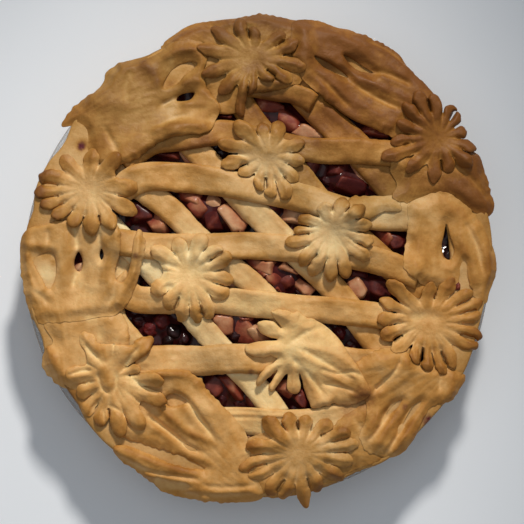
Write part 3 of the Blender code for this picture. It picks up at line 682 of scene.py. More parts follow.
def add_mesh(name, vertices, faces, body_slot, nodes, finish, **attributes):
    """A smooth-shaded piece that rides on the pie and stands for the given nodes."""
    mesh = bpy.data.meshes.new(name)
    mesh.from_pydata([tuple(v) for v in vertices], [], [tuple(f) for f in faces])
    for label, values in attributes.items():
        values = np.asarray(values, np.float32)
        kind, key = ("FLOAT_VECTOR", "vector") if values.ndim == 2 else ("FLOAT", "value")
        mesh.attributes.new(label, kind, "POINT").data.foreach_set(key, values.ravel())
    mesh.shade_smooth()
    mesh.materials.append(finish)
    obj = bpy.data.objects.new(name, mesh)
    bpy.context.scene.collection.objects.link(obj)
    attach(obj, "root")
    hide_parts(*nodes)
    return obj


class Bake:
    """The lid so far, as a height field, and the dough that is laid on it."""

    def __init__(self):
        self.surface = starting_surface()
        self.made = []
        self.swell = noise_sum(SWELL)
        self.mottle = noise_sum(MOTTLE)
        self.chance_melted = np.clip(MELTED_SHARE + noise_sum(MELTED_WAVES), 0, 1)
        self.melted = np.zeros_like(self.surface)
        for place in MELTS:
            self.melted = np.maximum(self.melted, nearness(GRID_X, GRID_Y, *place, power=4))
        self.shade = OUTER_BROWNING * np.clip(np.hypot(GRID_X, GRID_Y) / OUTER_RADIUS, 0, 1.1) ** 4
        for *place, amount in PATCHES:
            self.shade += amount * nearness(GRID_X, GRID_Y, *place)
        # painted sheen and cool shade, by place
        self.olive = np.zeros_like(self.surface)
        for *place, amount in PAINTED_SHEEN:
            self.olive = np.maximum(self.olive, amount * nearness(GRID_X, GRID_Y, *place))

    def drape(self, rows, columns):
        """The lower side of dough laid over this window of the surface."""
        below = spread(self.surface[rows, columns], CONTACT_RADIUS)
        sheet = below
        for _ in range(DRAPE_PASSES):
            sheet = np.maximum(below, blur(sheet, DRAPE_RADIUS))
        return blur(sheet, 2)

    def lay(self, name, tone, ring, holes, finishes, body_slot, grain, lift, grooves):
        """Lays one piece of dough.

        grain gives each point's place along and across the lines in the dough. lift gives its extra height
        and browning.
        """
        rings = [ring, *holes]
        low = ring.min(0) - WINDOW_MARGIN
        high = ring.max(0) + WINDOW_MARGIN
        first = np.clip(((low + HALF_SPAN) / CELL).astype(int), 0, COUNT - 2)
        last = np.clip(((high + HALF_SPAN) / CELL).astype(int) + 1, 2, COUNT)
        rows, columns = slice(first[1], last[1]), slice(first[0], last[0])
        sheet = self.surface.copy()
        sheet[rows, columns] = self.drape(rows, columns)
        seed = len(self.made)
        kind = name.split("_")[0]

        def shape(points):
            """The upper and lower side at each point, how browned it is, and its place along the grain."""
            gap = edge_distance(points, rings)
            soft = np.maximum(MELTING[kind][0] * sample(self.melted, points),
                              MELTING[kind][1] * sample(self.chance_melted, points))
            thickness, edge_height, edge_round = (
                whole + (sunk - whole) * soft for whole, sunk in zip(FORM[kind], MELTED_FORM))
            inward = np.clip(gap / edge_round, 0, 1)  # 0 at the edge
            round_top = np.sqrt(1 - (1 - inward) ** 2) * (1 - soft) + inward**2 * (3 - 2 * inward) * soft
            round_below = np.sqrt(1 - (1 - np.clip(gap / UNDERSIDE_ROUND, 0, 1)) ** 2)
            sinking = np.clip(sample(self.surface, points) - sample(sheet, points), -MELTED_DROP, MELTED_DROP)
            base = sample(sheet, points) + sinking * soft * (1 - inward) ** 2
            along, aside = grain(points)
            streaks = ripples(along, aside, np.random.default_rng(SEED["streaks"] + seed))
            pressed = groove_depth(points, grooves)
            raised, browned = lift(points, along, aside)
            top = base + raised + edge_height + (thickness - edge_height) * round_top
            top += (sample(self.swell, points) + STREAK_HEIGHT[kind] * streaks) * round_top
            top -= np.minimum(pressed, DEEPEST_GROOVE * (top - base - raised))
            below = np.minimum(base + (raised + edge_height) * (1 - round_below), top - THINNEST)
            on_edge = gap < ON_EDGE
            below[on_edge] = top[on_edge] = (base + raised + edge_height)[on_edge]
            brown = tone + browned + sample(self.shade, points) + sample(self.mottle, points)
            brown = brown + STREAK_BROWNING * streaks
            brown += (EDGE_BROWNING * np.exp(-gap / EDGE_REACH) * (1 - soft)
                      - GROOVE_BROWNING * np.clip(pressed, -GROOVE_LIMIT, GROOVE_LIMIT))
            place = np.column_stack([along * GRAIN_STRETCH, aside, np.full(len(points), seed)])
            return top, below, brown, place

        points, triangles, border = plan_mesh(ring, holes)
        top, below, brown, places = shape(points)
        shift = len(points) - border
        faces = [tuple(t) for t in triangles]
        faces += [tuple(i if i < border else i + shift for i in t[::-1]) for t in triangles]
        both, heights, brown, places = (
            np.concatenate([upper, lower[border:]]) for upper, lower in
            ((points, points), (top, below), (brown, brown - UNDERSIDE_PALER), (places, places)))
        # the dough's attributes: its browning, its grain, its juice stains and its painted sheen with cool
        # shade
        made = add_mesh("dough_" + name, np.column_stack([both, heights]), faces, body_slot, [name],
                        finishes[body_slot], browning=brown, grain=places, juice=juice_at(both),
                        olive=sample(self.olive, both))
        self.made.append((made, both, brown))

        window_x, window_y = GRID_X[rows, columns], GRID_Y[rows, columns]
        cells = np.column_stack([window_x.ravel(), window_y.ravel()])
        within = inside(cells, rings)
        patch = self.surface[rows, columns].ravel()
        patch[within] = np.maximum(patch[within], shape(cells[within])[0])
        self.surface[rows, columns] = patch.reshape(window_x.shape)

    def brown_what_stands_proud(self):
        proud = np.clip(self.surface - blur(self.surface, PROUD_REACH), -PROUD_LIMIT, PROUD_LIMIT)
        for made, points, brown in self.made:
            layer = made.data.attributes["browning"]
            kind = made.name.split("_")[1]
            values = brown + PROUD_BROWNING[kind] * sample(proud, points)
            layer.data.foreach_set("value", values.astype(np.float32))


def signed_area(ring):
    """The area inside an outline, below 0 where it runs clockwise."""
    x, y = ring[:, 0], ring[:, 1]
    return 0.5 * float(np.sum(x * np.roll(y, -1) - np.roll(x, -1) * y))


def plan_mesh(ring, holes):
    """Triangles over an outline, finer towards its edge: (points, triangles, how many are edge points)."""
    rings = [ring, *holes]
    low, high = ring.min(0), ring.max(0)
    rows = np.arange(low[1], high[1], GRID_STEP * math.sqrt(3) / 2)
    columns = np.arange(low[0], high[0] + GRID_STEP, GRID_STEP)
    xs, ys = np.meshgrid(columns, rows)
    xs = xs + (np.arange(len(rows)) % 2)[:, None] * GRID_STEP / 2
    grid = np.column_stack([xs.ravel(), ys.ravel()])
    grid = grid[inside(grid, rings)]
    points = [*rings, grid[edge_distance(grid, rings) > INSETS[-1] + GRID_CLEARANCE * GRID_STEP]]
    for depth in INSETS:
        for index, one in enumerate(rings):
            inward = -1 if (signed_area(one) < 0) != (index > 0) else 1
            moved = one + across_ring(one) * inward * depth
            moved = moved[edge_distance(moved, rings) > depth * INSET_KEPT]
            points.append(moved[inside(moved, rings)])
    borders, start = [], 0
    for one in rings:
        borders.append(list(range(start, start + len(one))))
        start += len(one)
    points = [Vector(p) for p in np.concatenate(points)]
    found, _, triangles, *_ = delaunay_2d_cdt(points, [], borders, 1, 1e-7)
    found = np.array([tuple(p) for p in found])
    triangles = np.array(triangles)
    triangles = triangles[inside(found[triangles].mean(1), rings)]
    corner = found[triangles]
    turn = np.cross(corner[:, 1] - corner[:, 0], corner[:, 2] - corner[:, 0])
    triangles[turn < 0] = triangles[turn < 0][:, ::-1]
    triangles = triangles[turn != 0]
    inner = edge_distance(found, rings) > ON_EDGE
    order = np.argsort(inner, kind="stable")
    rank = np.empty(len(order), int)
    rank[order] = np.arange(len(order))
    return found[order], rank[triangles], int((~inner).sum())


def tapered(depth, count):
    """A groove's depth at each point along it, shallow at both ends."""
    place = np.linspace(0, 1, count)
    return depth * np.clip(np.minimum(place, 1 - place) * 5 + 0.2, 0, 1)


def piece_grooves(name):
    """The grooves of one piece: (line, width, depth at each of its points)."""
    found = []
    for width, depth, *points in GROOVES.get(name, ()):
        line = smooth_curve(plan_points(points), LINE_STEP, closed=False)
        found.append((line, width * LAYOUT_UNIT, tapered(GROOVE_STRENGTH * depth / 1000, len(line))))
    return found


def ripples(along, aside, rng):
    """Streaks along the grain, mostly between -1 and 1."""
    height = np.zeros(len(along))
    for _ in range(STREAK_WAVES):
        width = rng.uniform(0.0020, 0.0065)
        lean, wander, reach = rng.uniform(-0.2, 0.2), rng.uniform(0.4, 1.4), rng.uniform(0.005, 0.014)
        turn = np.sin(along / reach + rng.uniform(0, 6.3))
        height += np.sin(2 * math.pi * (aside + lean * along) / width + wander * turn + rng.uniform(0, 6.3))
    return height / math.sqrt(STREAK_WAVES)


def strip_grain(middle):
    """Lines that run along a strip."""
    line = smooth_curve(plan_points(middle), LINE_STEP, closed=False)
    lengths = np.hypot(*np.diff(line, axis=0).T)
    starts = np.concatenate([[0], np.cumsum(lengths)])

    def grain(points):
        nearest = np.full(len(points), np.inf)
        along, aside = np.zeros(len(points)), np.zeros(len(points))
        for start, end, length, before in zip(line, line[1:], lengths, starts):
            gap, share = segment_distance(points, start, end)
            closer = gap < nearest
            nearest[closer] = gap[closer]
            along[closer] = before + share[closer] * length
            aside[closer] = ((points - start) @ turned((end - start) / length))[closer]
        return along, aside

    return grain


def strip_lift(level, width, rng):
    """A strip's lower side, towards the front, is the browner one, partly real browning and partly painted
    shade on the side away from the key light, and its browning comes and goes along it.
    """
    phases = rng.uniform(0, 6.3, len(STRIP_WAVE_LENGTHS))

    def lift(points, along, aside):
        # painted shade and browning: more brown on the side towards the front
        side = np.clip(-aside / (width * LAYOUT_UNIT / 2), -1, 1) * (1 if level else 0.4)
        waves = sum(np.sin(along / reach + phase) for reach, phase in zip(STRIP_WAVE_LENGTHS, phases))
        return np.zeros(len(points)), FRONT_SIDE_SHADE_AND_BROWNING * side * abs(side) + STRIP_WAVE_BROWNING * waves

    return lift


def fan_grain(root, turn_length):
    """Lines that run out from a point."""
    def grain(points):
        gap = points - root
        return np.hypot(gap[:, 0], gap[:, 1]), np.arctan2(gap[:, 1], gap[:, 0]) * turn_length

    return grain


def flat_lift(points, along, aside):
    """No extra height or browning."""
    return np.zeros(len(points)), np.zeros(len(points))


def petal_lift(centre, petals, rng):
    """Petals that rise or sink, lean to one side over their neighbours and brown towards their tips."""
    turns = np.array([math.atan2(petal[1], petal[0]) for petal in petals])
    reaches = np.array([np.hypot(*petal) for petal in petals])
    rises = rng.uniform(*PETAL_RISES, len(petals))
    leans = rng.uniform(*PETAL_LEANS, len(petals))
    browns = rng.uniform(*PETAL_BROWNS, len(petals))

    def lift(points, along, aside):
        gap = points - centre
        radius = np.hypot(gap[:, 0], gap[:, 1])
        turn = np.arctan2(gap[:, 1], gap[:, 0])[:, None] - turns
        across = ((turn + math.pi) % (2 * math.pi) - math.pi) * radius[:, None]
        weight = np.exp(-np.minimum((across / PETAL_BLEND) ** 2, 60)) + 1e-30
        weight /= weight.sum(1)[:, None]
        share = radius[:, None] / reaches
        out = np.clip((share - 0.4) / 0.6, 0, 1)
        raised = (rises * out**1.3 + leans * np.clip(across, -0.005, 0.005) * np.minimum(out * 2, 1)) * weight
        return raised.sum(1), (browns * out**1.7 * weight).sum(1)

    return lift


def lay_lid(finishes):
    """Lays the strips, the leaves and the flowers. It gives the height field of the finished lid."""
    bake = Bake()
    for level, strips in enumerate((LOWER_STRIPS, UPPER_STRIPS)):
        for index, (name, (width, tone, middle)) in enumerate(strips.items()):
            rng = np.random.default_rng(SEED["strip"] + index)
            ring = ragged(strip_outline(width, middle, rng), RAGGED["strip"], rng)
            bake.lay(name, tone, ring, [], finishes, "pale_dough", strip_grain(middle),
                     strip_lift(level, width, rng), piece_grooves(name))
    for index, (name, (tone, root, edge, cuts)) in enumerate(LEAVES.items()):
        rng = np.random.default_rng(SEED["leaf"] + index)
        ring = ragged(smooth_curve(plan_points(edge), OUTLINE_STEP), RAGGED["leaf"], rng)
        holes = [smooth_curve(plan_points(cut), OUTLINE_STEP) for cut in cuts]
        body_slot = "pale_dough" if name == "leaf_folded" else "browned_dough"
        bake.lay(name, tone, ring, holes, finishes, body_slot,
                 fan_grain(np.array(plan(*root)), FAN_WIDTH["leaf"]), flat_lift, piece_grooves(name))
    for index, (name, (middle, width, tone, tips)) in enumerate(FLOWERS.items()):
        rng = np.random.default_rng(SEED["flower"] + index)
        ring, grooves, centre, petals = flower_outline(middle, width, tips, rng)
        ring = ragged(ring, RAGGED["flower"], rng)
        bake.lay(name, tone, ring, [], finishes, "browned_dough", fan_grain(centre, FAN_WIDTH["flower"]),
                 petal_lift(centre, petals, rng), grooves + piece_grooves(name))
    bake.brown_what_stands_proud()
    return bake.surface


# ---------------------------------------------------------------- dish, crust and filling

TURNED_STEPS = 240
CRUST_STEPS = 480
FLAT_RADIUS = 0.06
INTO_GLASS = 0.00012  # by which the crust reaches into the glass, so that no air shows between them
RIM_GAP = 0.0003  # between the dish's rim and the dough over it
RIM_STEPS = 30
CRUST_ROUGHNESS = ((0.00045, 41, 9), (0.00016, 42, 3))  # see noise_sum
CRUST_TONE = 0.50
CRUST_SEED = 50
CRUST_GRAIN_RADIUS = 0.13  # where the streaks that run round it have their true length
RIM_TONE = 0.16  # more than the crust's, over the reach below
RIM_TONE_START = 0.13
RIM_TONE_REACH = 0.01
LINING_TONE = 0.62
LINING_TONE_HEIGHT = 0.038


def turned_mesh(profile, steps, height_shift=None, radius_shift=None):
    """A profile of (radius, height) turned about Z: rings of vertices, and faces that point outwards."""
    vertices, rings = [], []
    angles = 2 * math.pi * np.arange(steps) / steps
    for index, (radius, height) in enumerate(profile):
        if radius <= 0:
            rings.append([len(vertices)] * steps)
            vertices.append((0, 0, height))
            continue
        reach = radius + (radius_shift(index, angles) if radius_shift else 0 * angles)
        high = height + (height_shift(index, angles) if height_shift else 0 * angles)
        start = len(vertices)
        vertices += list(zip(reach * np.cos(angles), reach * np.sin(angles), high))
        rings.append(list(range(start, start + steps)))
    faces = []
    for low, high in zip(rings, rings[1:]):
        for i in range(steps):
            j = (i + 1) % steps
            face = list(dict.fromkeys([low[i], low[j], high[j], high[i]]))
            if len(face) > 2:
                faces.append(face)
    return vertices, faces


def arc(centre, radius, start_degrees, end_degrees, steps):
    """Points of a profile along part of a circle."""
    angles = np.radians(np.linspace(start_degrees, end_degrees, steps + 1))
    return [(centre[0] + radius * math.cos(a), centre[1] + radius * math.sin(a)) for a in angles]


def make_dish(finish):
    outer_foot = arc((DISH_FOOT_RADIUS, FOOT_RADIUS), FOOT_RADIUS, -90, -15, 10)
    inner_foot = arc((DISH_FOOT_RADIUS, FOOT_RADIUS), FOOT_RADIUS - GLASS, -15, -90, 8)
    rim = arc((DISH_RIM_RADIUS - GLASS / 2, DISH_HEIGHT - GLASS / 2), GLASS / 2, 0, 180, 12)
    profile = [(0, 0), (FLAT_RADIUS, 0), *outer_foot, *rim, *inner_foot, (FLAT_RADIUS, GLASS), (0, GLASS)]
    vertices, faces = turned_mesh(profile, TURNED_STEPS)
    add_mesh("dish", vertices, faces, "glass", ["glass_dish"], finish)


def lining_wall():
    """The inner side of the dough that lines the dish, from below its rim down to its floor."""
    foot = LINING_FOOT_RADIUS - CRUST
    return [(LINING_TOP_RADIUS, DISH_HEIGHT - CRUST), (foot, GLASS + CRUST + LINING_BEND),
            (foot - LINING_BEND, GLASS + CRUST)]


def make_crust(finish):
    """The dough that lines the dish and rolls out over its rim."""
    foot_arc = arc((DISH_FOOT_RADIUS, FOOT_RADIUS), FOOT_RADIUS - GLASS + INTO_GLASS, -90, -15, 8)
    wall_top = DISH_RIM_RADIUS - GLASS + INTO_GLASS
    over_rim = DISH_HEIGHT + RIM_GAP
    high = over_rim + RIM_THICKNESS
    half = RIM_THICKNESS / 2
    outside = [(0, GLASS - INTO_GLASS), (FLAT_RADIUS, GLASS - INTO_GLASS), *foot_arc]
    wall = [(wall_top, h) for h in (DISH_HEIGHT - GLASS, DISH_HEIGHT - 0.003)]
    slope = [(foot_arc[-1][0] + (wall_top - foot_arc[-1][0]) * t,
              foot_arc[-1][1] + (wall[0][1] - foot_arc[-1][1]) * t) for t in (0.25, 0.5, 0.75)]
    lip = [(wall_top - 0.0004, over_rim), (RIM_OUTER_RADIUS - 0.001, over_rim)]
    rounded = arc((RIM_OUTER_RADIUS - 0.0006, over_rim + half), half, -80, 80, 8)
    inner = arc((RIM_INNER_RADIUS + half, high - half), half, 90, 270, 10)
    top = [(radius, high)
           for radius in np.linspace(RIM_OUTER_RADIUS - 0.003, RIM_INNER_RADIUS + 0.004, RIM_STEPS)]
    down = [(LINING_TOP_RADIUS, over_rim), *lining_wall(), (0, GLASS + CRUST)]
    profile = [*outside, *slope, *wall, *lip, *rounded, *top, *inner, *down]
    first = len(outside) + len(slope) + len(wall) + 1
    last = first + 1 + len(rounded)
    uneven = last + len(top) + len(inner)
    rough = noise_sum(CRUST_ROUGHNESS)

    def radius_shift(index, angles):
        if index < first or index >= last + len(top):
            return 0 * angles
        share = min(1, (last + len(top) - index) / len(top))
        return rim_reach(angles) * share

    def height_shift(index, angles):
        if not first < index < uneven:
            return 0 * angles
        radius = profile[index][0]
        return sample(rough, np.column_stack([radius * np.cos(angles), radius * np.sin(angles)]))

    vertices, faces = turned_mesh(profile, CRUST_STEPS, height_shift, radius_shift)
    points = np.array(vertices)
    radius = np.hypot(points[:, 0], points[:, 1])
    angle = np.arctan2(points[:, 1], points[:, 0])
    at_rim = np.clip((radius - RIM_TONE_START) / RIM_TONE_REACH, 0, 1)
    brown = CRUST_TONE + RIM_TONE * at_rim + 0.05 * np.sin(9 * angle)
    brown[points[:, 2] < LINING_TONE_HEIGHT] = LINING_TONE
    # painted shade in the lid's slits and hollows, and a few paler places
    for *place, amount in CRUST_SHADE_AND_TONE:
        brown += amount * nearness(points[:, 0], points[:, 1], *place)
    along = angle * CRUST_GRAIN_RADIUS * GRAIN_STRETCH
    grain = np.column_stack([along, radius, np.full(len(points), CRUST_SEED)])
    # the crust takes an even half share of the painted sheen and cool shade
    add_mesh("crust", vertices, faces, "browned_dough", ["crust_base"], finish,
             browning=brown, grain=grain, olive=np.full(len(points), 0.5), juice=juice_at(points))


# apple that shows in the lid's openings: (u, v, length, width, turn in degrees, how pale it is)
APPLES = [
    (270, 103, 24, 14, 12, 0.4), (290, 121, 20, 18, 20, 0.35), (311, 131, 26, 13, 15, 0.8),
    (340, 171, 24, 14, 30, 0.1), (361, 170, 20, 14, 40, 0.7), (352, 186, 28, 18, 20, 0.05),
    (376, 184, 18, 12, 50, 0.4), (189, 197, 22, 12, 15, 0.6), (198, 209, 20, 14, 60, 0.45),
    (213, 204, 18, 12, 20, 0.85), (212, 220, 18, 16, 100, 0.05), (236, 218, 26, 20, 50, 0.85),
    (139, 213, 18, 16, 80, 0.05), (156, 223, 24, 14, 50, 0.65), (292, 216, 30, 14, 12, 0.85),
    (270, 208, 14, 10, 20, 0.1), (262, 264, 26, 14, 25, 0.8), (271, 279, 20, 18, 80, 0.45),
    (293, 267, 18, 14, 30, 0.65), (301, 287, 26, 12, 40, 0.75), (286, 282, 16, 14, 70, 0.15),
    (356, 289, 22, 18, 20, 0.8), (380, 289, 24, 16, 30, 0.05), (360, 272, 22, 12, 10, 0.05),
    (385, 236, 22, 16, 50, 0.45), (398, 242, 14, 12, 0, 0.1), (222, 323, 24, 20, 70, 0.62),
    (243, 331, 22, 20, 110, 0.5), (258, 334, 18, 14, 60, 0.9), (214, 386, 20, 16, 40, 0.05),
    (233, 388, 24, 12, 55, 0.38), (285, 389, 20, 12, 10, 0.6), (300, 396, 18, 12, 40, 0.15),
    (165, 150, 24, 12, 15, 0.15), (362, 334, 20, 12, 60, 0.1), (222, 112, 16, 12, 10, 0.1),
    (380, 128, 20, 12, 20, 0.35),
]
# berries that show there: (u, v, radius)
BERRIES = [
    (282, 112, 8), (262, 118, 8), (328, 180, 8), (336, 192, 8), (352, 192, 8), (222, 212, 8),
    (206, 216, 8), (180, 198, 8), (136, 216, 8), (148, 212, 8), (160, 230, 8), (276, 212, 8),
    (252, 264, 8), (292, 276, 8), (300, 292, 8), (360, 276, 9), (376, 288, 9), (346, 276, 8),
    (398, 240, 9), (138, 322, 8), (150, 330, 9), (162, 322, 9), (174, 332, 9), (184, 340, 8),
    (168, 342, 8), (236, 336, 8), (212, 384, 8), (240, 402, 9), (222, 400, 8), (276, 396, 8),
    (308, 402, 8), (340, 334, 8), (352, 344, 8), (84, 262, 8), (438, 252, 8), (222, 118, 8), (222, 152, 8),
    (168, 159, 8), (372, 134, 8),
]
FRUIT_SEED = 21
MORE_APPLES = 70
MORE_BERRIES = 60
APPLE_CUTS = 11
BERRY_CUTS = 8
APPLE_TILT = 0.45
BERRY_TILT = 0.5
APPLE_SINK = 0.0014
BERRY_SINK = 0.0030
SYRUP_DEPTH = 0.0026  # below the filling's even height, between the fruit
SYRUP_CLING = 0.0010  # below the fruit that it clings to
SYRUP_WAVES = ((0.0006, 31, 7), (0.0003, 32, 3))  # see noise_sum
SOAKED_DEPTH = 0.0050  # over which apple darkens from its top down
FRUIT_INTO_DOUGH = 0.0006  # by which fruit presses into the dough over it
COVERED_FROM = 0.0005  # how much higher the lid is where dough lies over the fruit
FREE_HEIGHT = 0.02  # for fruit in the openings
FRUIT_MARGIN = 0.006  # between the fruit and the crust round it
CHUNK_GROWTH = 1.25
CHUNK_SLANTS = 4
CHUNK_SHARPNESS = 18
SYRUP_RINGS = 128
SYRUP_STEPS = 400


def cube_sphere(cuts):
    """A cube's faces, each cut into a grid and closed up: points with the largest coordinate 1, and quads."""
    table, points, faces = {}, [], []

    def index(point):
        key = tuple(round(float(c), 6) for c in point)
        if key not in table:
            table[key] = len(points)
            points.append(key)
        return table[key]

    steps = np.linspace(-1, 1, cuts + 1)
    for axis in range(3):
        for sign in (-1, 1):
            for i in range(cuts):
                for j in range(cuts):
                    corners = []
                    for a, b in ((i, j), (i + 1, j), (i + 1, j + 1), (i, j + 1)):
                        point = [0, 0, 0]
                        point[axis] = sign
                        point[(axis + 1) % 3] = steps[a]
                        point[(axis + 2) % 3] = steps[b]
                        corners.append(index(point))
                    faces.append(corners if sign > 0 else corners[::-1])
    return np.array(points, float), faces


def turn_about(axis, angle):
    """The matrix of a turn about X, Y or Z, which are axes 0, 1 and 2."""
    matrix = np.eye(3)
    i, j = (axis + 1) % 3, (axis + 2) % 3
    matrix[i, i] = matrix[j, j] = math.cos(angle)
    matrix[i, j], matrix[j, i] = -math.sin(angle), math.sin(angle)
    return matrix


def tilted_turn(rng, tilt, turn):
    """A turn about Z after a random tilt of up to that many radians."""
    a, b = rng.uniform(-tilt, tilt, 2)
    return turn_about(2, turn) @ turn_about(1, b) @ turn_about(0, a)


def cut_chunk(points, rng):
    """A chunk of about unit size with flat cut faces, on the directions of these points."""
    directions = points / np.linalg.norm(points, axis=1)[:, None]
    planes = np.concatenate([np.eye(3), -np.eye(3)]) + rng.uniform(-0.28, 0.28, (6, 3))
    slants = rng.normal(size=(CHUNK_SLANTS, 3))
    slants[:, 2] = np.abs(slants[:, 2])
    planes = np.concatenate([planes, slants])
    planes /= np.linalg.norm(planes, axis=1)[:, None]
    depths = np.concatenate([rng.uniform(0.85, 1.05, 6), rng.uniform(0.80, 1.05, CHUNK_SLANTS)])
    reach = np.clip(directions @ planes.T, 0, None) / depths
    return directions / np.sum(reach ** CHUNK_SHARPNESS, axis=1)[:, None] ** (1 / CHUNK_SHARPNESS)


def lumps(points, rng, amount):
    """A few soft waves through space, to make fruit uneven."""
    shift = np.zeros(len(points))
    for _ in range(5):
        direction = rng.normal(size=3)
        shift += np.sin(points @ direction * rng.uniform(1.5, 3.5) + rng.uniform(0, 6.3))
    return amount * shift / 5


def gather(shapes):
    """Joins shapes of (points, faces, value) into one mesh; a value is one for the shape or one a point."""
    vertices, faces, values = [], [], []
    for points, quads, value in shapes:
        start = len(vertices)
        vertices += [tuple(p) for p in points]
        faces += [[start + i for i in quad] for quad in quads]
        values += list(np.broadcast_to(value, len(points)))
    return vertices, faces, values


def free_places(rng, wanted, taken, spacing):
    """Places spread over the filling, in layout units, clear of those already taken."""
    found = []
    for _ in range(wanted * 30):
        if len(found) == wanted:
            break
        radius = (FILLING_RADIUS - 0.008) / LAYOUT_UNIT * math.sqrt(rng.uniform())
        angle = rng.uniform(0, 2 * math.pi)
        place = (LAYOUT_CENTRE[0] + radius * math.cos(angle), LAYOUT_CENTRE[1] + radius * math.sin(angle))
        if all(math.dist(place, other) > spacing for other in taken + found):
            found.append(place)
    return found


def fruit_height(points):
    """The height field of the fruit's upper side, from its points."""
    field = np.full(GRID_X.shape, FILLING_EDGE_HEIGHT - SYRUP_DEPTH)
    column, row = np.round((points[:, :2] + HALF_SPAN) / CELL).astype(int).T
    np.maximum.at(field, (row, column), points[:, 2])
    return spread(field, 1)


def roof_over_fruit(lid):
    """How high the fruit may stand: low where dough lies over it, and free in the openings."""
    below = starting_surface()
    covered = spread((lid > below + COVERED_FROM).astype(float), 1) > 0.5
    return np.where(covered, below + FRUIT_INTO_DOUGH, below + FREE_HEIGHT)


def keep_below(points, roof):
    """Lowers what stands above the roof's height field, and moves in what would cross the crust."""
    limit = FILLING_RADIUS - FRUIT_MARGIN
    points[:, :2] *= np.minimum(1, limit / np.hypot(points[:, 0], points[:, 1]))[:, None]
    column, row = np.round((points[:, :2] + HALF_SPAN) / CELL).astype(int).T
    points[:, 2] = np.minimum(points[:, 2], roof[row, column])


def make_fruit(finishes, roof):
    """The fruit over the filling's own core. It gives the height field of its upper side."""
    rng = np.random.default_rng(FRUIT_SEED)
    cube, cube_faces = cube_sphere(APPLE_CUTS)
    apples = list(APPLES)
    taken = [(a[0], a[1]) for a in APPLES] + [(b[0], b[1]) for b in BERRIES]
    for u, v in free_places(rng, MORE_APPLES, taken, 15):
        length, width = rng.uniform(16, 26), rng.uniform(12, 18)
        apples.append((u, v, length, width, rng.uniform(0, 180), rng.uniform(0, 0.9)))
        taken.append((u, v))
    berries = list(BERRIES)
    for u, v in free_places(rng, MORE_BERRIES, taken, 12):
        berries.append((u, v, rng.uniform(7, 9)))

    shapes = []
    for u, v, length, width, degrees, tint in apples:
        x, y = plan(u, v)
        size = np.array([length / 2, width / 2, rng.uniform(6, 8)]) * LAYOUT_UNIT * CHUNK_GROWTH
        points = cut_chunk(cube, rng)
        points = points * (1 + lumps(points, rng, 0.05))[:, None]
        points = (points * size) @ tilted_turn(rng, APPLE_TILT, math.radians(-degrees)).T
        points += (x, y, filling_height(x, y) - APPLE_SINK + rng.uniform(-0.0014, 0.0008))
        keep_below(points, roof)
        soaked = (points[:, 2].max() - points[:, 2]) / SOAKED_DEPTH
        shapes.append((points, cube_faces, tint + 0.1 - 0.5 * np.clip(soaked, 0, 1)))
    vertices, faces, values = gather(shapes)
    add_mesh("apple_chunks", vertices, faces, "filling", ["filling"], finishes["apple"], tint=values)
    upper = list(vertices)

    cube, cube_faces = cube_sphere(BERRY_CUTS)
    shapes = []
    for u, v, radius in berries:
        x, y = plan(u, v)
        points = cube / np.linalg.norm(cube, axis=1)[:, None]
        points = points * (1 + lumps(points * 2, rng, 0.20) + lumps(points * 5, rng, 0.05))[:, None]
        points = points * radius * LAYOUT_UNIT * (1, rng.uniform(0.75, 1), 0.8)
        points = points @ tilted_turn(rng, BERRY_TILT, rng.uniform(0, 6)).T
        points += (x, y, filling_height(x, y) - BERRY_SINK + rng.uniform(-0.0010, 0.0006))
        keep_below(points, roof)
        shapes.append((points, cube_faces, rng.uniform(0, 1)))
    vertices, faces, values = gather(shapes)
    add_mesh("berries", vertices, faces, "filling", ["filling"], finishes["berry"], tint=values)
    return fruit_height(np.array(upper + list(vertices)))


def make_syrup(finish, fruit):
    """The syrup between the fruit, over the filling's own core. It clings to the fruit's sides."""
    pool = filling_height(GRID_X, GRID_Y) - SYRUP_DEPTH + noise_sum(SYRUP_WAVES)
    clinging = np.maximum(blur(fruit, 3), blur(fruit, 6)) - SYRUP_CLING
    surface = blur(np.maximum(pool, clinging), 1)
    profile = [(0, 0)] + [(FILLING_RADIUS * k / SYRUP_RINGS, 0) for k in range(1, SYRUP_RINGS + 1)]
    wall = [(radius + 0.0002, height - 0.0001) for radius, height in lining_wall()]
    wall.append((0, wall[-1][1]))
    vertices, faces = turned_mesh([*profile, *wall], SYRUP_STEPS)
    points = np.array(vertices)
    top = len(points) - 1 - SYRUP_STEPS * (len(wall) - 1)
    points[:top, 2] = sample(surface, points[:top, :2])
    add_mesh("syrup", points, [face[::-1] for face in faces], "filling", ["filling"], finish)


# ---------------------------------------------------------------- materials

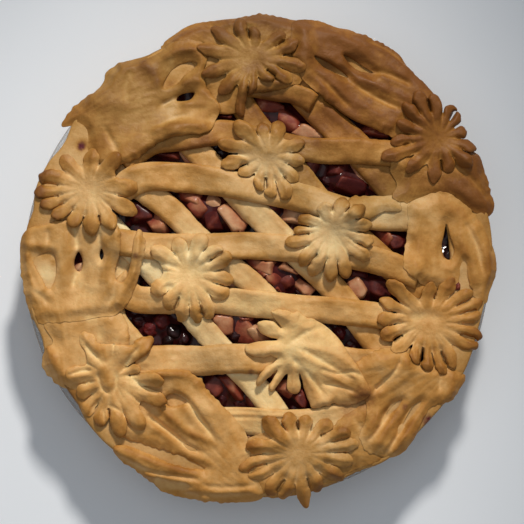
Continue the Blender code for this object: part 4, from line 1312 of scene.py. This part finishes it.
class Nodes:
    """Short calls for building a material out of nodes."""

    def __init__(self, name):
        self.material = bpy.data.materials.new(name)
        self.material.use_nodes = True
        self.tree = self.material.node_tree
        self.shader = self.tree.nodes["Principled BSDF"]

    def add(self, kind, settings=None, **inputs):
        node = self.tree.nodes.new(kind)
        for key, value in (settings or {}).items():
            setattr(node, key, value)
        for key, value in inputs.items():
            self.put(node, key.replace("_", " "), value)
        return node

    def put(self, node, key, value):
        socket = node.inputs[key]
        if isinstance(value, bpy.types.NodeSocket):
            self.tree.links.new(value, socket)
        else:
            socket.default_value = value

    def place(self):
        return self.add("ShaderNodeTexCoord").outputs["Object"]

    def noise(self, scale, detail=3, roughness=0.55, place=None):
        node = self.add("ShaderNodeTexNoise", Scale=scale, Detail=detail, Roughness=roughness)
        self.put(node, "Vector", place or self.place())
        return node.outputs["Fac"]

    def shade(self, **inputs):
        """Sets or links inputs of the shader itself."""
        for key, value in inputs.items():
            self.put(self.shader, key.replace("_", " "), value)

    def mix(self, factor, first, second, blend="MIX"):
        node = self.add("ShaderNodeMixRGB", {"blend_type": blend}, Fac=factor, Color1=first, Color2=second)
        return node.outputs["Color"]

    def math(self, operation, a, b=None, c=None):
        node = self.tree.nodes.new("ShaderNodeMath")
        node.operation = operation
        for socket, value in zip(node.inputs, (a, b, c)):
            if isinstance(value, bpy.types.NodeSocket):
                self.tree.links.new(value, socket)
            elif value is not None:
                socket.default_value = value
        return node.outputs[0]

    def ramp(self, factor, stops):
        node = self.tree.nodes.new("ShaderNodeValToRGB")
        self.tree.links.new(factor, node.inputs[0])
        while len(node.color_ramp.elements) < len(stops):
            node.color_ramp.elements.new(0.5)
        for element, (place, colour) in zip(node.color_ramp.elements, stops):
            element.position = place
            element.color = (*colour, 1)
        return node.outputs["Color"]

    def attribute(self, name, output="Fac"):
        return self.add("ShaderNodeAttribute", {"attribute_name": name}).outputs[output]

    def bump(self, heights):
        """Stacks bumps: (height, distance, strength) one on another."""
        normal = None
        for height, distance, strength in heights:
            node = self.add("ShaderNodeBump", Strength=strength, Distance=distance)
            self.put(node, "Height", height)
            if normal is not None:
                self.put(node, "Normal", normal)
            normal = node.outputs["Normal"]
        self.put(self.shader, "Normal", normal)


DOUGH_STOPS = [
    (0.0, (0.82, 0.62, 0.31)), (0.25, (0.73, 0.47, 0.188)), (0.45, (0.60, 0.327, 0.110)),
    (0.62, (0.47, 0.222, 0.051)), (0.76, (0.355, 0.150, 0.027)), (0.88, (0.27, 0.104, 0.016)),
    (1.0, (0.19, 0.065, 0.010)),
]
JUICE_COLOUR = (0.09, 0.008, 0.014)
APPLE_STOPS = [
    (0.0, (0.055, 0.005, 0.004)), (0.35, (0.20, 0.036, 0.018)), (0.65, (0.39, 0.155, 0.072)),
    (1.0, (0.53, 0.30, 0.155)),
]
BERRY_STOPS = [(0.0, (0.010, 0.002, 0.002)), (0.5, (0.032, 0.004, 0.004)), (1.0, (0.10, 0.009, 0.008))]
SYRUP_STOPS = [(0.3, (0.014, 0.002, 0.002)), (0.7, (0.055, 0.004, 0.004))]
FLOOR_STOPS = [(0.3, (0.77, 0.80, 0.84)), (0.7, (0.81, 0.84, 0.88))]


def dough_finish(name):
    make = Nodes(name)
    fine = make.noise(420, 4)
    broad = make.noise(90, 3)
    streaks = make.noise(650, 3, place=make.attribute("grain", "Vector"))
    wrinkles = make.math("ABSOLUTE", make.math("SUBTRACT", make.noise(210, 3), 0.5))
    wrinkles = make.math("MINIMUM", make.math("MULTIPLY", wrinkles, 9), 1)
    flecks = make.math("GREATER_THAN", make.noise(700, 2), 0.71)
    brown = make.attribute("browning")
    for noise, amount in ((fine, 0.18), (broad, 0.16), (streaks, 0.05)):
        brown = make.math("ADD", brown, make.math("MULTIPLY_ADD", noise, amount, -amount / 2))
    brown = make.math("MULTIPLY_ADD", flecks, 0.07, brown)
    # painted sheen and cool shade: the dough is made greyer and bluer by place
    colour = make.mix(make.attribute("olive"), make.ramp(brown, DOUGH_STOPS), (*PAINTED_SHEEN_TINT, 1), "MULTIPLY")
    stain = make.math("MULTIPLY", make.attribute("juice"), make.math("MULTIPLY_ADD", fine, 1.6, 0.1))
    make.shade(
        Base_Color=make.mix(stain, colour, (*JUICE_COLOUR, 1)),
        Roughness=make.math("MULTIPLY_ADD", make.noise(70, 4), 0.50, 0.30), Specular_IOR_Level=0.22,
        Subsurface_Weight=0.05, Subsurface_Radius=(0.003, 0.0015, 0.0008), Subsurface_Scale=1.0)
    make.bump([(make.noise(1100, 4), 0.0002, 0.55), (streaks, 0.0003, 0.12), (wrinkles, 0.0003, 0.22),
               (make.noise(330, 4), 0.0006, 0.5)])
    return make.material


def uneven_finish(name, stops, noise, tint=None, bump=None, **inputs):
    """A finish whose colour wanders over the stops with noise, round its piece's tint where it has one."""
    make = Nodes(name)
    place = make.noise(*noise)
    if tint:
        place = make.math("ADD", make.attribute("tint"), make.math("MULTIPLY_ADD", place, *tint))
    make.shade(Base_Color=make.ramp(place, stops), **inputs)
    if bump:
        scale, detail, distance, strength = bump
        make.bump([(make.noise(scale, detail), distance, strength)])
    return make.material


def glass_finish():
    make = Nodes("dish glass")
    make.shade(Base_Color=(0.93, 0.96, 0.95, 1), Roughness=0.03, Transmission_Weight=1.0, IOR=1.47,
               Alpha=0.55)
    make.bump([(make.noise(30, 2), 0.0004, 0.12)])
    return make.material


def make_finishes():
    return {
        "glass": glass_finish(),
        "pale_dough": dough_finish("pale dough"),
        "browned_dough": dough_finish("browned dough"),
        "apple": uneven_finish(
            "cooked apple", APPLE_STOPS, (150, 4), tint=(0.8, -0.42), bump=(500, 4, 0.0005, 0.6),
            Roughness=0.5, Specular_IOR_Level=0.15, Coat_Weight=0.18, Coat_Roughness=0.22,
            Subsurface_Weight=0.1, Subsurface_Radius=(0.004, 0.0015, 0.001), Subsurface_Scale=1.0),
        "berry": uneven_finish(
            "cooked berry", BERRY_STOPS, (260, 3), tint=(0.8, -0.4), bump=(480, 3, 0.0012, 0.9),
            Roughness=0.5, Specular_IOR_Level=0.1, Coat_Weight=0.3, Coat_Roughness=0.07),
        "syrup": uneven_finish(
            "berry syrup", SYRUP_STOPS, (120, 3), bump=(260, 3, 0.0008, 0.6),
            Roughness=0.5, Specular_IOR_Level=0.1, Coat_Weight=0.3, Coat_Roughness=0.08),
        "floor": uneven_finish("pale floor", FLOOR_STOPS, (3, 2), Roughness=0.6),
    }


# ---------------------------------------------------------------- stage, lights and camera

VIEW_HEIGHT = 0.052  # the lid's plane, where a layout unit is one pixel of the picture
CAMERA_DISTANCE = 0.9
CAMERA_DIRECTION = Vector((-0.06, -0.05, 1.0)).normalized()
CAMERA_TARGET = Vector((0.0011, 0.0, VIEW_HEIGHT))
PICTURE_SIZE = 0.3122  # across the lid's plane
SENSOR = 36.0
FLOOR_HALF = 3.0
SKY_COLOUR = (0.90, 0.95, 1.0, 1)
SKY_STRENGTH = 0.27


def make_stage(finish):
    corners = [(x * FLOOR_HALF, y * FLOOR_HALF, 0) for x, y in ((-1, -1), (1, -1), (1, 1), (-1, 1))]
    mesh = bpy.data.meshes.new("floor")
    mesh.from_pydata(corners, [], [(0, 1, 2, 3)])
    mesh.materials.append(finish)
    floor = bpy.data.objects.new("floor", mesh)
    bpy.context.scene.collection.objects.link(floor)


def add_light(kind, name, place, target, watts, colour, **settings):
    data = bpy.data.lights.new(name, kind)
    data.energy = watts
    data.color = colour
    for key, value in settings.items():
        setattr(data, key, value)
    light = bpy.data.objects.new(name, data)
    light.location = place
    light.rotation_euler = (Vector(target) - Vector(place)).to_track_quat("-Z", "Y").to_euler()
    bpy.context.scene.collection.objects.link(light)


def make_lights():
    """A pale sky, a wide soft lamp above and a sun-like one whose beam fades softly round its target."""
    world = bpy.data.worlds.new("studio")
    world.use_nodes = True
    background = world.node_tree.nodes["Background"]
    background.inputs["Color"].default_value = SKY_COLOUR
    background.inputs["Strength"].default_value = SKY_STRENGTH
    bpy.context.scene.world = world
    add_light("SPOT", "key", (0.15, 1.1, 1.0), (-0.07, -0.12, 0.05), 88, (1.0, 0.96, 0.90),
              spot_size=math.radians(29), spot_blend=1.0, shadow_soft_size=0.09)
    add_light("AREA", "top", (-0.3, 0.1, 1.4), (0, 0, 0.05), 2.5, (0.95, 0.97, 1.0),
              shape="DISK", size=1.2)


def make_camera():
    data = bpy.data.cameras.new("camera")
    data.sensor_width = SENSOR
    data.lens = SENSOR * CAMERA_DISTANCE / PICTURE_SIZE
    camera = bpy.data.objects.new("camera", data)
    camera.location = CAMERA_TARGET + CAMERA_DIRECTION * CAMERA_DISTANCE
    backward = CAMERA_DIRECTION
    right = Vector((0, 1, 0)).cross(backward).normalized()
    up = backward.cross(right)
    camera.matrix_world = Matrix((
        (right.x, up.x, backward.x, camera.location.x),
        (right.y, up.y, backward.y, camera.location.y),
        (right.z, up.z, backward.z, camera.location.z),
        (0, 0, 0, 1)))
    bpy.context.scene.collection.objects.link(camera)
    bpy.context.scene.camera = camera


def main():
    bpy.context.scene.view_settings.view_transform = "Standard"
    finishes = make_finishes()
    make_stage(finishes["floor"])
    make_lights()
    make_camera()
    make_dish(finishes["glass"])
    make_crust(finishes["browned_dough"])
    lid = lay_lid(finishes)
    fruit = make_fruit(finishes, roof_over_fruit(lid))
    make_syrup(finishes["syrup"], fruit)


main()
